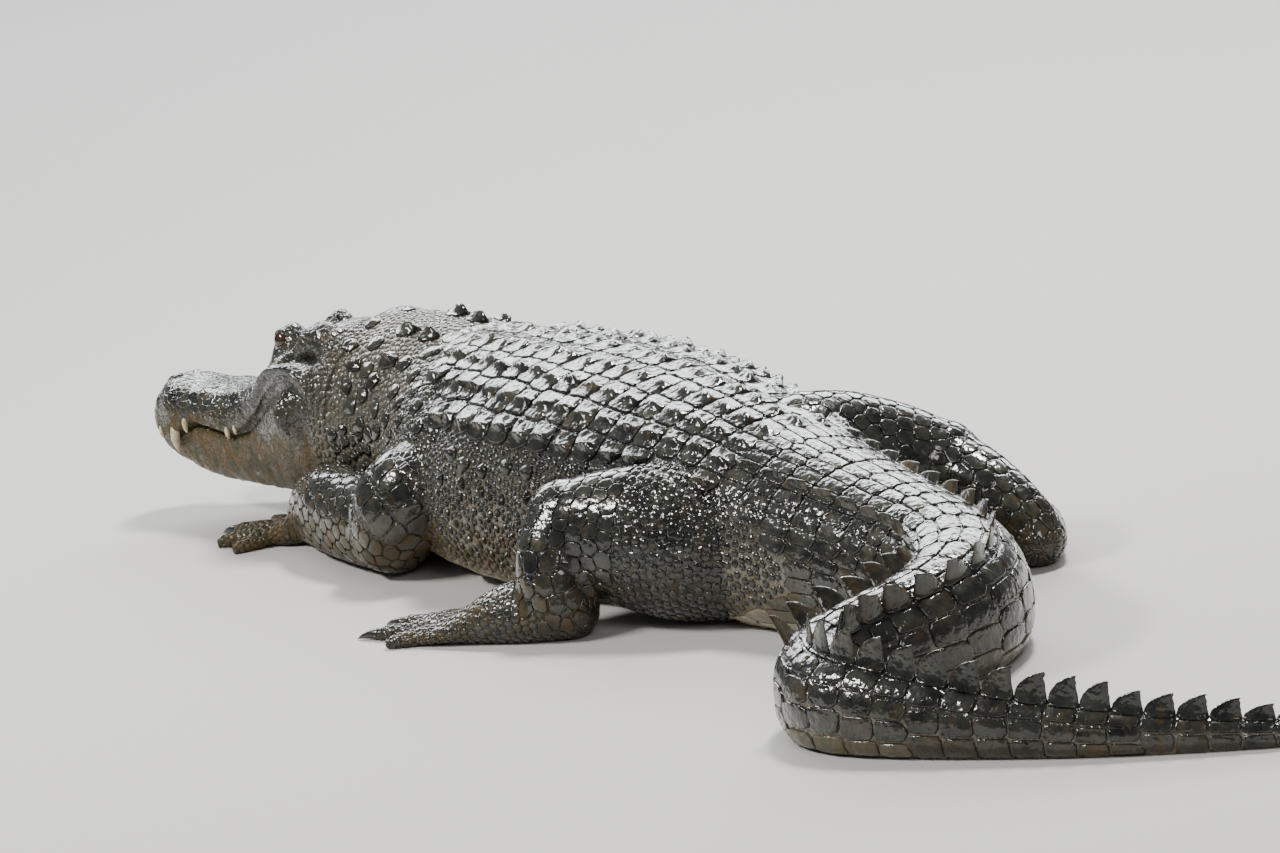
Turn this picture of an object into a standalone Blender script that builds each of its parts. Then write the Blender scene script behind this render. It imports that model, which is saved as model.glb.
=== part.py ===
import math
import random

import bmesh
import bpy
from mathutils import Vector

# An adult female American alligator, resting on level ground with its head held low over it.
# The spine runs along X at the trunk with the snout toward -X, and the animal's left side faces -Y.
# Every place along the body is a distance in metres behind the vent, so the head's are negative.

VENT_PLACE = (0.081, 0.007)
SNOUT_TIP = -1.21
HEAD_BACK = -0.81
NECK_BACK = -0.65
CHEST_BACK = -0.35
VENT = 0.0
TAIL_TIP = 1.34
TAIL_JOINTS = (0.20, 0.37, 0.50, 0.66, 0.90, 1.12)

# The spine's heading in degrees from +X at each place: nearly straight down the trunk,
# then round two bends of the tail.
SPINE_HEADINGS = (
    (-1.21, 20), (-0.88, 20), (-0.78, 14), (-0.68, 7), (-0.60, 2), (-0.50, 0), (0.00, 0), (0.12, 2),
    (0.26, 0), (0.37, -45), (0.46, -95), (0.49, -100), (0.54, -86), (0.65, 12), (0.71, 23),
    (0.89, 31), (1.09, 41), (1.34, 47),
)
SPINE_STEP = 0.005
HEADING_BLEND = 0.06

# Place, half width, height of the back, height of the belly.
BODY_SECTIONS = (
    (-0.81, 0.130, 0.243, 0.034), (-0.74, 0.130, 0.240, 0.018), (-0.68, 0.145, 0.232, 0.000),
    (-0.58, 0.172, 0.234, 0.000), (-0.42, 0.190, 0.236, 0.000), (-0.25, 0.170, 0.230, 0.000),
    (-0.10, 0.135, 0.210, 0.000), (0.05, 0.110, 0.180, 0.000), (0.20, 0.088, 0.152, 0.000),
    (0.40, 0.064, 0.122, 0.000), (0.55, 0.048, 0.102, 0.000), (0.70, 0.036, 0.086, 0.000),
    (0.85, 0.025, 0.058, 0.000), (1.00, 0.017, 0.038, 0.000), (1.15, 0.011, 0.023, 0.000),
    (1.34, 0.0035, 0.006, 0.000),
)
SECTION_BLEND = 0.03
WIDEST_AT = 0.42
BACK_ROUNDNESS = 0.95
FLANK_ROUNDNESS = 0.62
BELLY_FLAT = 1.14
BELLY_ROUNDNESS = 0.75

# Columns of plates round one section, in degrees from the left flank over the back.
TRUNK_COLUMNS = (
    -60, -35, -10, 14, 32, 47, 61, 75, 90, 105, 119, 133, 148, 166, 190, 215, 240, 270,
)
TRUNK_PLATES = (3, 4, 5, 6, 7, 8, 9, 10, 11, 12)
TAIL_COLUMNS = (-60, -35, -10, 14, 42, 70, 110, 138, 166, 190, 215, 240, 270)
LEFT_KEEL = 4
RIDGE_KEEL = 5
RIGHT_KEEL = 6
NECK_ROWS = 5
PLATE_ROW = 0.0382
TAIL_ROW_FIRST = 0.0400
TAIL_ROW_LAST = 0.0290
PLATE_MARGIN = 0.0035
PLATE_RISE = 0.0015
PLATE_KEEL = 0.0115
KEEL_LEAN = 0.16
NAPE_KEEL = 0.0125
NECK_SCALE_KEEL = 0.008
SINGLE_CREST_FROM = 0.60
# Place and height of the upright plates that stand along the tail.
CREST_HEIGHTS = ((0.0, 0.012), (0.22, 0.018), (0.40, 0.026), (0.58, 0.033), (0.72, 0.038), (0.90, 0.029),
                 (1.05, 0.020), (1.20, 0.012), (1.34, 0.004))
CREST_MARGIN = 0.0012
CREST_WIDTH = 0.018
CREST_TAPER = 0.40
CREST_FRONT_HEIGHT = 0.55

# Distance behind the snout tip, half width, top and lip line of the upper head,
# then the half width and the underside of the lower jaw.
HEAD_SECTIONS = (
    (0.000, 0.022, 0.132, 0.110, 0.018, 0.096), (0.018, 0.040, 0.151, 0.106, 0.034, 0.080),
    (0.055, 0.056, 0.168, 0.103, 0.047, 0.066), (0.090, 0.056, 0.163, 0.122, 0.052, 0.054),
    (0.130, 0.064, 0.161, 0.118, 0.058, 0.047), (0.165, 0.072, 0.164, 0.114, 0.066, 0.045),
    (0.200, 0.080, 0.170, 0.122, 0.075, 0.044), (0.235, 0.091, 0.184, 0.144, 0.088, 0.044),
    (0.265, 0.103, 0.203, 0.170, 0.102, 0.044), (0.300, 0.116, 0.220, 0.188, 0.117, 0.044),
    (0.340, 0.127, 0.233, 0.196, 0.129, 0.042), (0.370, 0.130, 0.240, 0.176, 0.131, 0.038),
    (0.400, 0.130, 0.243, 0.130, 0.130, 0.034),
)
HEAD_BLEND = 0.008
HEAD_ROWS = 26
HEAD_ROW_GROWTH = 1.15
JAW_TIP_BACK = 0.004
HEAD_COLUMNS = 16
LIP_COLUMNS = 6
JAW_COLUMNS = 12
# The head's sections are squarer than the neck's, and turn into it from this far behind the tip.
HEAD_ROUNDNESS = 0.72
HEAD_BLENDS_FROM = 0.27

EYE_BACK = 0.268
EYE_OUT = 0.0485
EYE_HEIGHT = 0.2190
EYE_RADIUS = 0.0135
EYE_OPENING = (0.0165, 0.0125, 0.0070)
OPENING_FORWARD = 0.002
OPENING_OUT = 0.013
# Humps of the head's roof over each eye, each ear and each nostril: distance behind the snout tip
# and out from the middle, reach along and across, height, and how square its edge is.
HEAD_HUMPS = (
    (0.267, 0.041, 0.0240, 0.0255, 0.0380, 3.4), (0.340, 0.066, 0.0300, 0.0220, 0.0150, 4.0),
    (0.315, 0.000, 0.0320, 0.0450, 0.0080, 4.0), (0.036, 0.016, 0.0140, 0.0110, 0.0045, 2.4),
)
# The roof leans a little: how much higher its left side is for each metre out, and where that fades.
ROOF_LEAN = 0.07
LEAN_FADES = (0.34, 0.40)
NOSTRIL_BACK = 0.040
NOSTRIL_OUT = 0.014
NOSTRIL_HEIGHT = 0.1725
NOSTRIL_SIZE = (0.0085, 0.0050, 0.0070)

# Distance behind the snout tip, how far out of the mouth line and how thick each upper tooth is.
TEETH = ((0.030, 0.008, 0.0042), (0.060, 0.021, 0.0068), (0.082, 0.010, 0.0045), (0.168, 0.008, 0.0044),
         (0.186, 0.005, 0.0036))
TOOTH_SIDES = 6
TOOTH_ROOT = 0.006
# Part of a tooth's length and its thickness there.
TOOTH_STAGES = ((0.0, 0.9), (0.45, 1.0), (0.85, 0.5), (1.0, 0.2))

GAP = 0.0003
JOINT_CLEARANCE = 0.0005

# Each limb runs through places in metres from the vent: X, Y, Z, half breadth, half height.
LEFT_UPPER_ARM = ((-0.546, -0.118, 0.104, 0.052, 0.054), (-0.549, -0.162, 0.096, 0.060, 0.060),
                  (-0.568, -0.184, 0.078, 0.058, 0.056), (-0.590, -0.184, 0.052, 0.050, 0.048))
LEFT_FOREARM = ((-0.604, -0.182, 0.046, 0.040, 0.044), (-0.670, -0.180, 0.053, 0.044, 0.052),
                (-0.732, -0.178, 0.056, 0.044, 0.054), (-0.790, -0.174, 0.048, 0.036, 0.044),
                (-0.830, -0.168, 0.032, 0.028, 0.030))
LEFT_HAND = (-0.838, -0.166, 0.020)
LEFT_HAND_TURN = 196
RIGHT_UPPER_ARM = ((-0.640, 0.060, 0.150, 0.052, 0.060), (-0.665, 0.118, 0.120, 0.050, 0.052),
                   (-0.655, 0.160, 0.075, 0.044, 0.046), (-0.640, 0.172, 0.046, 0.040, 0.042))
RIGHT_FOREARM = ((-0.646, 0.172, 0.046, 0.036, 0.042), (-0.695, 0.178, 0.050, 0.042, 0.048),
                 (-0.745, 0.178, 0.046, 0.038, 0.044), (-0.795, 0.176, 0.032, 0.028, 0.032),
                 (-0.825, 0.175, 0.024, 0.024, 0.022))
RIGHT_HAND = (-0.818, 0.175, 0.020)
RIGHT_HAND_TURN = 172

LEFT_THIGH = ((-0.020, -0.066, 0.076, 0.074, 0.076), (-0.070, -0.104, 0.086, 0.074, 0.084),
              (-0.118, -0.142, 0.096, 0.064, 0.076), (-0.152, -0.170, 0.108, 0.052, 0.060),
              (-0.174, -0.184, 0.114, 0.043, 0.046))
LEFT_SHIN = ((-0.174, -0.182, 0.118, 0.040, 0.040), (-0.168, -0.200, 0.094, 0.043, 0.044),
             (-0.160, -0.212, 0.064, 0.043, 0.042), (-0.152, -0.216, 0.040, 0.038, 0.036))
LEFT_FOOT = (-0.152, -0.214, 0.024)
LEFT_FOOT_TURN = 206
RIGHT_THIGH = ((-0.080, 0.050, 0.120, 0.070, 0.085), (-0.070, 0.110, 0.112, 0.066, 0.082),
               (-0.040, 0.160, 0.106, 0.054, 0.064), (-0.015, 0.192, 0.100, 0.042, 0.046))
RIGHT_SHIN = ((-0.018, 0.190, 0.100, 0.038, 0.038), (0.022, 0.200, 0.086, 0.038, 0.040),
              (0.068, 0.210, 0.060, 0.034, 0.036), (0.100, 0.216, 0.038, 0.028, 0.032))
RIGHT_FOOT = (0.100, 0.218, 0.024)
RIGHT_FOOT_TURN = 160

LIMB_SIDES = 14
LIMB_ROWS = 9

# Digits of a forefoot and of a hind foot: turn from the foot's line in degrees, length, has a claw.
HAND_DIGITS = ((-62, 0.064, True), (-30, 0.088, True), (-2, 0.096, True), (28, 0.084, False),
               (60, 0.062, False))
HAND_PALM = (0.058, 0.034, 0.021)
FOOT_DIGITS = ((-25, 0.105, True), (-9, 0.138, True), (7, 0.140, True), (24, 0.112, False))
FOOT_PALM = (0.145, 0.042, 0.040)
FOOT_WEB = (0.070, 0.048, 0.0085)
DIGIT_THICKNESS = 0.0120
CLAW_LENGTH = 0.026
DIGIT_SIDES = 8
# Part of the reach, height of the middle and thickness, both in digit thicknesses.
DIGIT_STAGES = ((-0.25, 1.20, 0.75), (0.0, 1.10, 1.0), (0.35, 0.95, 1.02), (0.60, 0.77, 1.06),
                (0.82, 0.60, 0.86), (1.0, 0.37, 0.62))
CLAW_STAGES = ((0.08, 0.40, 0.42), (0.55, 0.30, 0.30), (1.0, 0.08, 0.08))
BLUNT_STAGES = ((0.20, 0.25, 0.30),)

HIDE = (0.050, 0.053, 0.052)
HIDE_LOW = (0.085, 0.078, 0.060)
EYE_GOLD = (0.34, 0.25, 0.08)


def clear_scene():
    for thing in list(bpy.data.objects):
        bpy.data.objects.remove(thing, do_unlink=True)


def table_row(table, place):
    """The row of a table at a place, between its neighbours in proportion."""
    if place <= table[0][0]:
        return table[0][1:]
    for low, high in zip(table, table[1:]):
        if place <= high[0]:
            part = (place - low[0]) / (high[0] - low[0])
            return tuple(a + (b - a) * part for a, b in zip(low[1:], high[1:]))
    return table[-1][1:]


def smooth_row(table, place, blend):
    """The same, averaged over a short stretch on both sides, so that it turns softly."""
    steps = (-1.0, -2 / 3, -1 / 3, 0.0, 1 / 3, 2 / 3, 1.0)
    rows = [table_row(table, place + blend * step) for step in steps]
    return tuple(sum(values) / len(steps) for values in zip(*rows))


def walk_spine():
    """Points of the spine from the snout to the tail tip, with the heading at each."""
    count = round((TAIL_TIP - SNOUT_TIP) / SPINE_STEP)
    places = [SNOUT_TIP + SPINE_STEP * k for k in range(count + 1)]
    headings = [math.radians(smooth_row(SPINE_HEADINGS, place, HEADING_BLEND)[0]) for place in places]
    points = [Vector((0.0, 0.0))]
    for before, after in zip(headings, headings[1:]):
        middle = (before + after) / 2
        points.append(points[-1] + Vector((math.cos(middle), math.sin(middle))) * SPINE_STEP)
    vent = points[round((VENT - SNOUT_TIP) / SPINE_STEP)].copy()
    shift = Vector(VENT_PLACE) - vent
    return [point + shift for point in points], headings


SPINE_POINTS, SPINE_ANGLES = walk_spine()


def spine_frame(place):
    """Where the spine is, its direction toward the tail, and the animal's left."""
    step = min(max((place - SNOUT_TIP) / SPINE_STEP, 0.0), len(SPINE_POINTS) - 1.001)
    low = int(step)
    part = step - low
    point = SPINE_POINTS[low].lerp(SPINE_POINTS[low + 1], part)
    angle = SPINE_ANGLES[low] + (SPINE_ANGLES[low + 1] - SPINE_ANGLES[low]) * part
    along = Vector((math.cos(angle), math.sin(angle), 0.0))
    left = Vector((along.y, -along.x, 0.0))
    return Vector((point.x, point.y, 0.0)), along, left


def from_vent(place):
    """A place given from the vent, in the model's own frame."""
    return Vector((place[0] + VENT_PLACE[0], place[1] + VENT_PLACE[1], place[2]))


def signed_power(value, power):
    return math.copysign(abs(value) ** power, value)


def body_point(place, degrees, shift=0.0):
    """A point of the neck, trunk or tail at an angle round its section."""
    half_width, top, bottom = smooth_row(BODY_SECTIONS, place, SECTION_BLEND)
    point, along, left = spine_frame(place)
    across = math.cos(math.radians(degrees))
    upward = math.sin(math.radians(degrees))
    middle = bottom + WIDEST_AT * (top - bottom)
    if upward >= 0:
        side = half_width * signed_power(across, BACK_ROUNDNESS)
        height = middle + (top - middle) * upward ** BACK_ROUNDNESS
    else:
        side = half_width * signed_power(across, FLANK_ROUNDNESS)
        height = middle - (middle - bottom) * min(1.0, BELLY_FLAT * abs(upward) ** BELLY_ROUNDNESS)
    return point + left * side + along * shift + Vector((0.0, 0.0, height))


def head_roundness(back):
    """How far a section of the head has turned into the neck's rounder shape."""
    part = (back - HEAD_BLENDS_FROM) / (HEAD_BACK - SNOUT_TIP - HEAD_BLENDS_FROM)
    return HEAD_ROUNDNESS + (BACK_ROUNDNESS - HEAD_ROUNDNESS) * min(max(part, 0.0), 1.0)


def head_point(back, degrees, shift=0.0):
    """A point of the upper head; half of the ring is the roof, half is the flat of the lips."""
    half_width, top, lip, _jaw_width, _under = smooth_row(HEAD_SECTIONS, back, HEAD_BLEND)
    point, along, left = spine_frame(SNOUT_TIP + back)
    across = math.cos(math.radians(degrees))
    upward = math.sin(math.radians(degrees))
    roundness = head_roundness(back)
    if upward >= 0:
        side = half_width * signed_power(across, roundness)
        height = lip + (top - lip) * upward ** roundness
    else:
        side = half_width * across
        height = lip
    height += (hump_rise(back, side) + roof_lean(back) * side) * max(upward, 0.0)
    return point + left * side + along * shift + Vector((0.0, 0.0, height + GAP / 2))


def hump_rise(back, side):
    """How far the humps stand above the line of the skull at a place of the roof."""
    rise = 0.0
    for at, out, along, across, height, squareness in HEAD_HUMPS:
        away = math.hypot((back - at) / along, (abs(side) - out) / across)
        rise += height * math.exp(-away ** squareness)
    return rise


def roof_lean(back):
    low, high = LEAN_FADES
    return ROOF_LEAN * min(max((high - back) / (high - low), 0.0), 1.0)


def jaw_point(back, degrees, shift=0.0):
    """A point of the lower jaw, whose upper half lies flat against the lips."""
    _half_width, _top, lip, half_width, under = smooth_row(HEAD_SECTIONS, back, HEAD_BLEND)
    point, along, left = spine_frame(SNOUT_TIP + back)
    across = math.cos(math.radians(degrees))
    upward = math.sin(math.radians(degrees))
    side = half_width * signed_power(across, FLANK_ROUNDNESS)
    height = lip
    if upward < 0:
        height = lip - (lip - under) * min(1.0, BELLY_FLAT * abs(upward) ** BELLY_ROUNDNESS)
    return point + left * side + along * shift + Vector((0.0, 0.0, height - GAP / 2))


def finish(name, bm, colour, roughness=0.35):
    """Make a named object of a closed mesh, with its own material."""
    bmesh.ops.recalc_face_normals(bm, faces=bm.faces)
    mesh = bpy.data.meshes.new(name)
    bm.to_mesh(mesh)
    bm.free()
    thing = bpy.data.objects.new(name, mesh)
    bpy.context.collection.objects.link(thing)
    finish_material(thing, colour, roughness)
    return thing


def finish_material(thing, colour, roughness):
    material = bpy.data.materials.new(thing.name + "_finish")
    material.use_nodes = True
    shader = material.node_tree.nodes["Principled BSDF"]
    shader.inputs["Base Color"].default_value = (*colour, 1.0)
    shader.inputs["Roughness"].default_value = roughness
    shader.inputs["Metallic"].default_value = 0.0
    thing.data.materials.clear()
    thing.data.materials.append(material)
    thing.data.shade_flat()


def rolled_grid(rows, columns, place_vertex):
    """A grid rolled into a closed tube with flat ends; faces keep their row and column."""
    bm = bmesh.new()
    bmesh.ops.create_grid(bm, x_segments=rows, y_segments=columns, size=0.5)
    row_of = bm.faces.layers.int.new("row")
    column_of = bm.faces.layers.int.new("column")
    for face in bm.faces:
        centre = face.calc_center_median()
        face[row_of] = int((centre.x + 0.5) * rows)
        face[column_of] = int((centre.y + 0.5) * columns)
    for vertex in bm.verts:
        row = round((vertex.co.x + 0.5) * rows)
        column = round((vertex.co.y + 0.5) * columns)
        vertex.co = place_vertex(row, column % columns)
    bmesh.ops.remove_doubles(bm, verts=bm.verts, dist=0.00001)
    rims = [edge for edge in bm.edges if edge.is_boundary]
    caps = bmesh.ops.holes_fill(bm, edges=rims, sides=0)
    for face in caps["faces"]:
        face[row_of] = -1
    bmesh.ops.recalc_face_normals(bm, faces=bm.faces)
    return bm


def chosen_faces(bm, test):
    """The faces whose row and column pass a test."""
    row_of = bm.faces.layers.int["row"]
    column_of = bm.faces.layers.int["column"]
    return [face for face in bm.faces if face[row_of] >= 0 and test(face[row_of], face[column_of])]


def raise_keels(bm, faces, height):
    """Turn each face into a plate with a low keel, leaning to the tail."""
    bmesh.ops.inset_individual(bm, faces=faces, thickness=PLATE_MARGIN, depth=PLATE_RISE)
    backs = [back_direction(face) for face in faces]
    made = bmesh.ops.poke(bm, faces=faces, offset=0.0, center_mode="MEAN")
    for vertex in made["verts"]:
        _middle, along, length = min(backs, key=lambda item: (item[0] - vertex.co).length_squared)
        vertex.co += along * length * KEEL_LEAN
        vertex.co += vertex_normal(vertex) * height * random.uniform(0.85, 1.15)


def vertex_normal(vertex):
    total = Vector((0.0, 0.0, 0.0))
    for face in vertex.link_faces:
        total += face.normal
    return total.normalized()


def back_direction(face):
    """A face's middle, the way to the tail across it, and its length that way."""
    middle = face.calc_center_median()
    _point, along, _left = spine_frame(nearest_place(middle))
    reach = max((vertex.co - middle).dot(along) for vertex in face.verts)
    return middle, along, 2 * reach


def nearest_place(point):
    """The place along the spine nearest to a point."""
    flat = Vector((point.x, point.y))
    best = min(range(len(SPINE_POINTS)), key=lambda k: (SPINE_POINTS[k] - flat).length_squared)
    return SNOUT_TIP + SPINE_STEP * best


def raise_crest(bm, faces, place_of_row):
    """Raise each face into an upright, tapered plate whose highest point is at its back."""
    row_of = bm.faces.layers.int["row"]
    for face in faces:
        place = place_of_row(face[row_of])
        _point, along, left = spine_frame(place)
        height = table_row(CREST_HEIGHTS, place)[0] * random.uniform(0.9, 1.1)
        bmesh.ops.inset_individual(bm, faces=[face], thickness=CREST_MARGIN, depth=0.0)
        middle = face.calc_center_median()
        width = 2 * max(abs((vertex.co - middle).dot(left)) for vertex in face.verts)
        squeeze_across(face.verts, middle, left, min(1.0, CREST_WIDTH / width))
        top = bmesh.ops.extrude_discrete_faces(bm, faces=[face])["faces"][0]
        outward = (top.normal.normalized() + Vector((0.0, 0.0, 2.0))).normalized()
        outward = (outward - along * outward.dot(along)).normalized()
        squeeze_across(top.verts, middle, left, CREST_TAPER)
        for vertex in top.verts:
            behind = (vertex.co - middle).dot(along)
            vertex.co += outward * (height if behind > 0 else height * CREST_FRONT_HEIGHT)
            vertex.co += along * max(0.0, -behind) * CREST_FRONT_HEIGHT


def squeeze_across(vertices, middle, left, size):
    """Draw corners toward the middle line, across the body, to a share of their width."""
    for vertex in vertices:
        vertex.co -= left * (vertex.co - middle).dot(left) * (1 - size)


def body_length(rows, front, back, columns):
    """One length of neck, trunk or tail between two places, with its grid still open to be worked."""
    places = [front + (back - front) * row / rows for row in range(rows + 1)]

    def place_vertex(row, column):
        shift = 0.0
        if row == 0:
            shift = GAP / 2
        if row == rows:
            shift = -GAP / 2
        return body_point(places[row], columns[column], shift)

    return rolled_grid(rows, len(columns), place_vertex), places


def make_neck():
    """The neck with its two rows of nape plates, and smaller ones before and beside them."""
    bm, _places = body_length(NECK_ROWS, HEAD_BACK, NECK_BACK, TRUNK_COLUMNS)
    nape = [(2, 6), (2, 7), (2, 8), (2, 9), (3, 7), (3, 8)]
    small = [(0, 5), (0, 7), (0, 8), (0, 10), (1, 4), (1, 6), (1, 9), (1, 11), (3, 4), (3, 5), (3, 10),
             (3, 11)]
    raise_keels(bm, chosen_faces(bm, lambda row, column: (row, column) in nape), NAPE_KEEL)
    raise_keels(bm, chosen_faces(bm, lambda row, column: (row, column) in small), NECK_SCALE_KEEL)
    return finish("neck", bm, HIDE)


def make_trunk(name, front, back):
    rows = round((back - front) / PLATE_ROW)
    bm, _places = body_length(rows, front, back, TRUNK_COLUMNS)
    plates = chosen_faces(bm, lambda row, column: column in TRUNK_PLATES)
    raise_keels(bm, plates, PLATE_KEEL)
    return finish(name, bm, HIDE)


def tail_row_length(place):
    return TAIL_ROW_FIRST + (TAIL_ROW_LAST - TAIL_ROW_FIRST) * place / TAIL_TIP


def make_tail(name, front, back):
    rows = max(2, round((back - front) / tail_row_length((front + back) / 2)))
    bm, places = body_length(rows, front, back, TAIL_COLUMNS)

    def place_of_row(row):
        return (places[row] + places[row + 1]) / 2

    def carries_crest(row, column):
        if place_of_row(row) < SINGLE_CREST_FROM:
            return column in (LEFT_KEEL, RIGHT_KEEL)
        return column == RIDGE_KEEL

    raise_crest(bm, chosen_faces(bm, carries_crest), place_of_row)
    return finish(name, bm, HIDE)


def ball(name, centre, sizes, turn=0.0, subdivisions=2):
    """A closed ellipsoid, turned about Z, as an object."""
    bm = bmesh.new()
    bmesh.ops.create_icosphere(bm, subdivisions=subdivisions, radius=1.0)
    cosine = math.cos(turn)
    sine = math.sin(turn)
    for vertex in bm.verts:
        x = vertex.co.x * sizes[0]
        y = vertex.co.y * sizes[1]
        z = vertex.co.z * sizes[2]
        vertex.co = Vector(centre) + Vector((x * cosine - y * sine, x * sine + y * cosine, z))
    return finish(name, bm, HIDE)


def combine(thing, others, operation):
    """Join the other closed solids to a solid, or cut them out of it, and keep its largest surface."""
    collection = bpy.data.collections.new(thing.name + "_tools")
    bpy.context.scene.collection.children.link(collection)
    for other in others:
        for owner in list(other.users_collection):
            owner.objects.unlink(other)
        collection.objects.link(other)
    modifier = thing.modifiers.new("combine", "BOOLEAN")
    modifier.operation = operation
    modifier.solver = "EXACT"
    modifier.operand_type = "COLLECTION"
    modifier.collection = collection
    apply_modifiers(thing)
    for other in others:
        bpy.data.objects.remove(other, do_unlink=True)
    bpy.data.collections.remove(collection)
    keep_largest(thing)
    return thing


def apply_modifiers(thing):
    graph = bpy.context.evaluated_depsgraph_get()
    mesh = bpy.data.meshes.new_from_object(thing.evaluated_get(graph))
    thing.modifiers.clear()
    old = thing.data
    thing.data = mesh
    mesh.name = old.name
    bpy.data.meshes.remove(old)


def keep_largest(thing):
    """Drop every loose scrap but the largest closed surface."""
    bm = bmesh.new()
    bm.from_mesh(thing.data)
    unseen = set(bm.faces)
    shells = []
    while unseen:
        front = [unseen.pop()]
        shell = list(front)
        while front:
            face = front.pop()
            for edge in face.edges:
                for other in edge.link_faces:
                    if other in unseen:
                        unseen.remove(other)
                        front.append(other)
                        shell.append(other)
        shells.append(shell)
    shells.sort(key=lambda shell: sum(face.calc_area() for face in shell))
    scraps = [face for shell in shells[:-1] for face in shell]
    bmesh.ops.delete(bm, geom=scraps, context="FACES")
    bmesh.ops.remove_doubles(bm, verts=bm.verts, dist=0.00002)
    bmesh.ops.triangulate(bm, faces=bm.faces)
    bm.to_mesh(thing.data)
    bm.free()


def swollen_copy(thing, amount):
    """A copy of a solid grown outwards a little, to cut its neighbour clear of it."""
    copy = bpy.data.objects.new(thing.name + "_clear", thing.data.copy())
    bpy.context.collection.objects.link(copy)
    bm = bmesh.new()
    bm.from_mesh(copy.data)
    bmesh.ops.recalc_face_normals(bm, faces=bm.faces)
    bm.normal_update()
    moves = [vertex.normal * amount * min(vertex.calc_shell_factor(), 2.0) for vertex in bm.verts]
    for vertex, move in zip(bm.verts, moves):
        vertex.co += move
    bm.to_mesh(copy.data)
    bm.free()
    return copy


def cut_flat(thing):
    """Give a solid a flat sole where it would reach below the ground."""
    bm = bmesh.new()
    bm.from_mesh(thing.data)
    everything = bm.verts[:] + bm.edges[:] + bm.faces[:]
    bmesh.ops.bisect_plane(bm, geom=everything, plane_co=(0, 0, 0), plane_no=(0, 0, -1), clear_outer=True)
    rims = [edge for edge in bm.edges if edge.is_boundary]
    if rims:
        bmesh.ops.holes_fill(bm, edges=rims, sides=0)
    bmesh.ops.recalc_face_normals(bm, faces=bm.faces)
    bm.to_mesh(thing.data)
    bm.free()


def smooth_path(rows, count):
    """A smooth run through the rows of a limb, with a rounded end at both ends."""
    table = [(float(k), *row) for k, row in enumerate(rows)]
    last = len(rows) - 1
    return [smooth_row(table, last * k / (count - 1), 0.35) for k in range(count)]


def limb_solid(name, rows, colour, count=LIMB_ROWS, sides=LIMB_SIDES):
    """A limb segment: a tapered tube through its rows, closed by rounded ends."""
    path = smooth_path(rows, count)
    points = [from_vent(row) for row in path]
    start = (points[1] - points[0]).normalized()
    end = (points[-1] - points[-2]).normalized()
    rings = []
    for part in (0.35, 0.80):
        rings.append((points[0] - start * path[0][3] * math.sqrt(1 - part * part), part, start, path[0]))
    for k, (point, row) in enumerate(zip(points, path)):
        before = points[max(k - 1, 0)]
        after = points[min(k + 1, count - 1)]
        rings.append((point, 1.0, (after - before).normalized(), row))
    for part in (0.80, 0.35):
        rings.append((points[-1] + end * path[-1][3] * math.sqrt(1 - part * part), part, end, path[-1]))

    def place_vertex(row, column):
        point, part, along, sizes = rings[row]
        aside = along.cross(Vector((0.0, 0.0, 1.0)))
        if aside.length < 0.2:
            aside = along.cross(Vector((1.0, 0.0, 0.0)))
        aside.normalize()
        upward = aside.cross(along).normalized()
        angle = 2 * math.pi * column / sides
        return point + aside * math.cos(angle) * sizes[3] * part + upward * math.sin(angle) * sizes[4] * part

    bm = rolled_grid(len(rings) - 1, sides, place_vertex)
    return finish(name, bm, colour)


def tooth_solid(name, root, point, radius):
    """A tapered tooth from its root to its point."""
    line = point - root
    along = line.normalized()
    aside = along.cross(Vector((1.0, 0.0, 0.0))).normalized()
    upward = aside.cross(along).normalized()

    def place_vertex(row, column):
        part, size = TOOTH_STAGES[row]
        angle = 2 * math.pi * column / TOOTH_SIDES
        return root + line * part + (aside * math.cos(angle) + upward * math.sin(angle)) * radius * size

    return finish(name, rolled_grid(len(TOOTH_STAGES) - 1, TOOTH_SIDES, place_vertex), HIDE)


def digit_solid(name, root, direction, reach, clawed):
    """One digit: down from the palm to its knuckle, along the ground, and into its claw."""
    thick = DIGIT_THICKNESS
    stages = list(DIGIT_STAGES)
    claw = CLAW_LENGTH / reach
    for part, height, size in CLAW_STAGES if clawed else BLUNT_STAGES:
        stages.append((1.0 + claw * part, height, size))
    aside = Vector((direction.y, -direction.x, 0.0))

    def place_vertex(row, column):
        part, height, size = stages[row]
        angle = 2 * math.pi * column / DIGIT_SIDES
        out = aside * math.cos(angle) * thick * size
        centre = root + direction * reach * part
        centre.z = thick * height
        return centre + out + Vector((0.0, 0.0, math.sin(angle) * thick * size * 0.9))

    return finish(name, rolled_grid(len(stages) - 1, DIGIT_SIDES, place_vertex), HIDE_LOW)


def make_foot(name, wrist, turn, digits, palm, web):
    """A foot laid flat: the palm, its digits fanned out, and claws on the inner three."""
    length, half_width, height = palm
    facing = math.radians(turn)
    forward = Vector((math.cos(facing), math.sin(facing), 0.0))
    start = from_vent(wrist)
    middle = start + forward * length * 0.5
    middle.z = height * 0.62
    foot = ball(name, middle, (length * 0.62, half_width, height), facing, 2)
    parts = []
    mirror = 1 if wrist[1] < 0 else -1
    for number, (spread, reach, clawed) in enumerate(digits):
        angle = facing + math.radians(spread) * mirror
        direction = Vector((math.cos(angle), math.sin(angle), 0.0))
        root = start + forward * length * 0.62 + direction * half_width * 0.2
        parts.append(digit_solid(f"{name}_digit_{number}", root, direction, reach, clawed))
    if web:
        centre = start + forward * (length * 0.75 + web[0])
        centre.z = web[2] * 0.5
        parts.append(ball(f"{name}_web", centre, web, facing, 2))
    combine(foot, parts, "UNION")
    finish_material(foot, HIDE_LOW, 0.45)
    return foot


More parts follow.
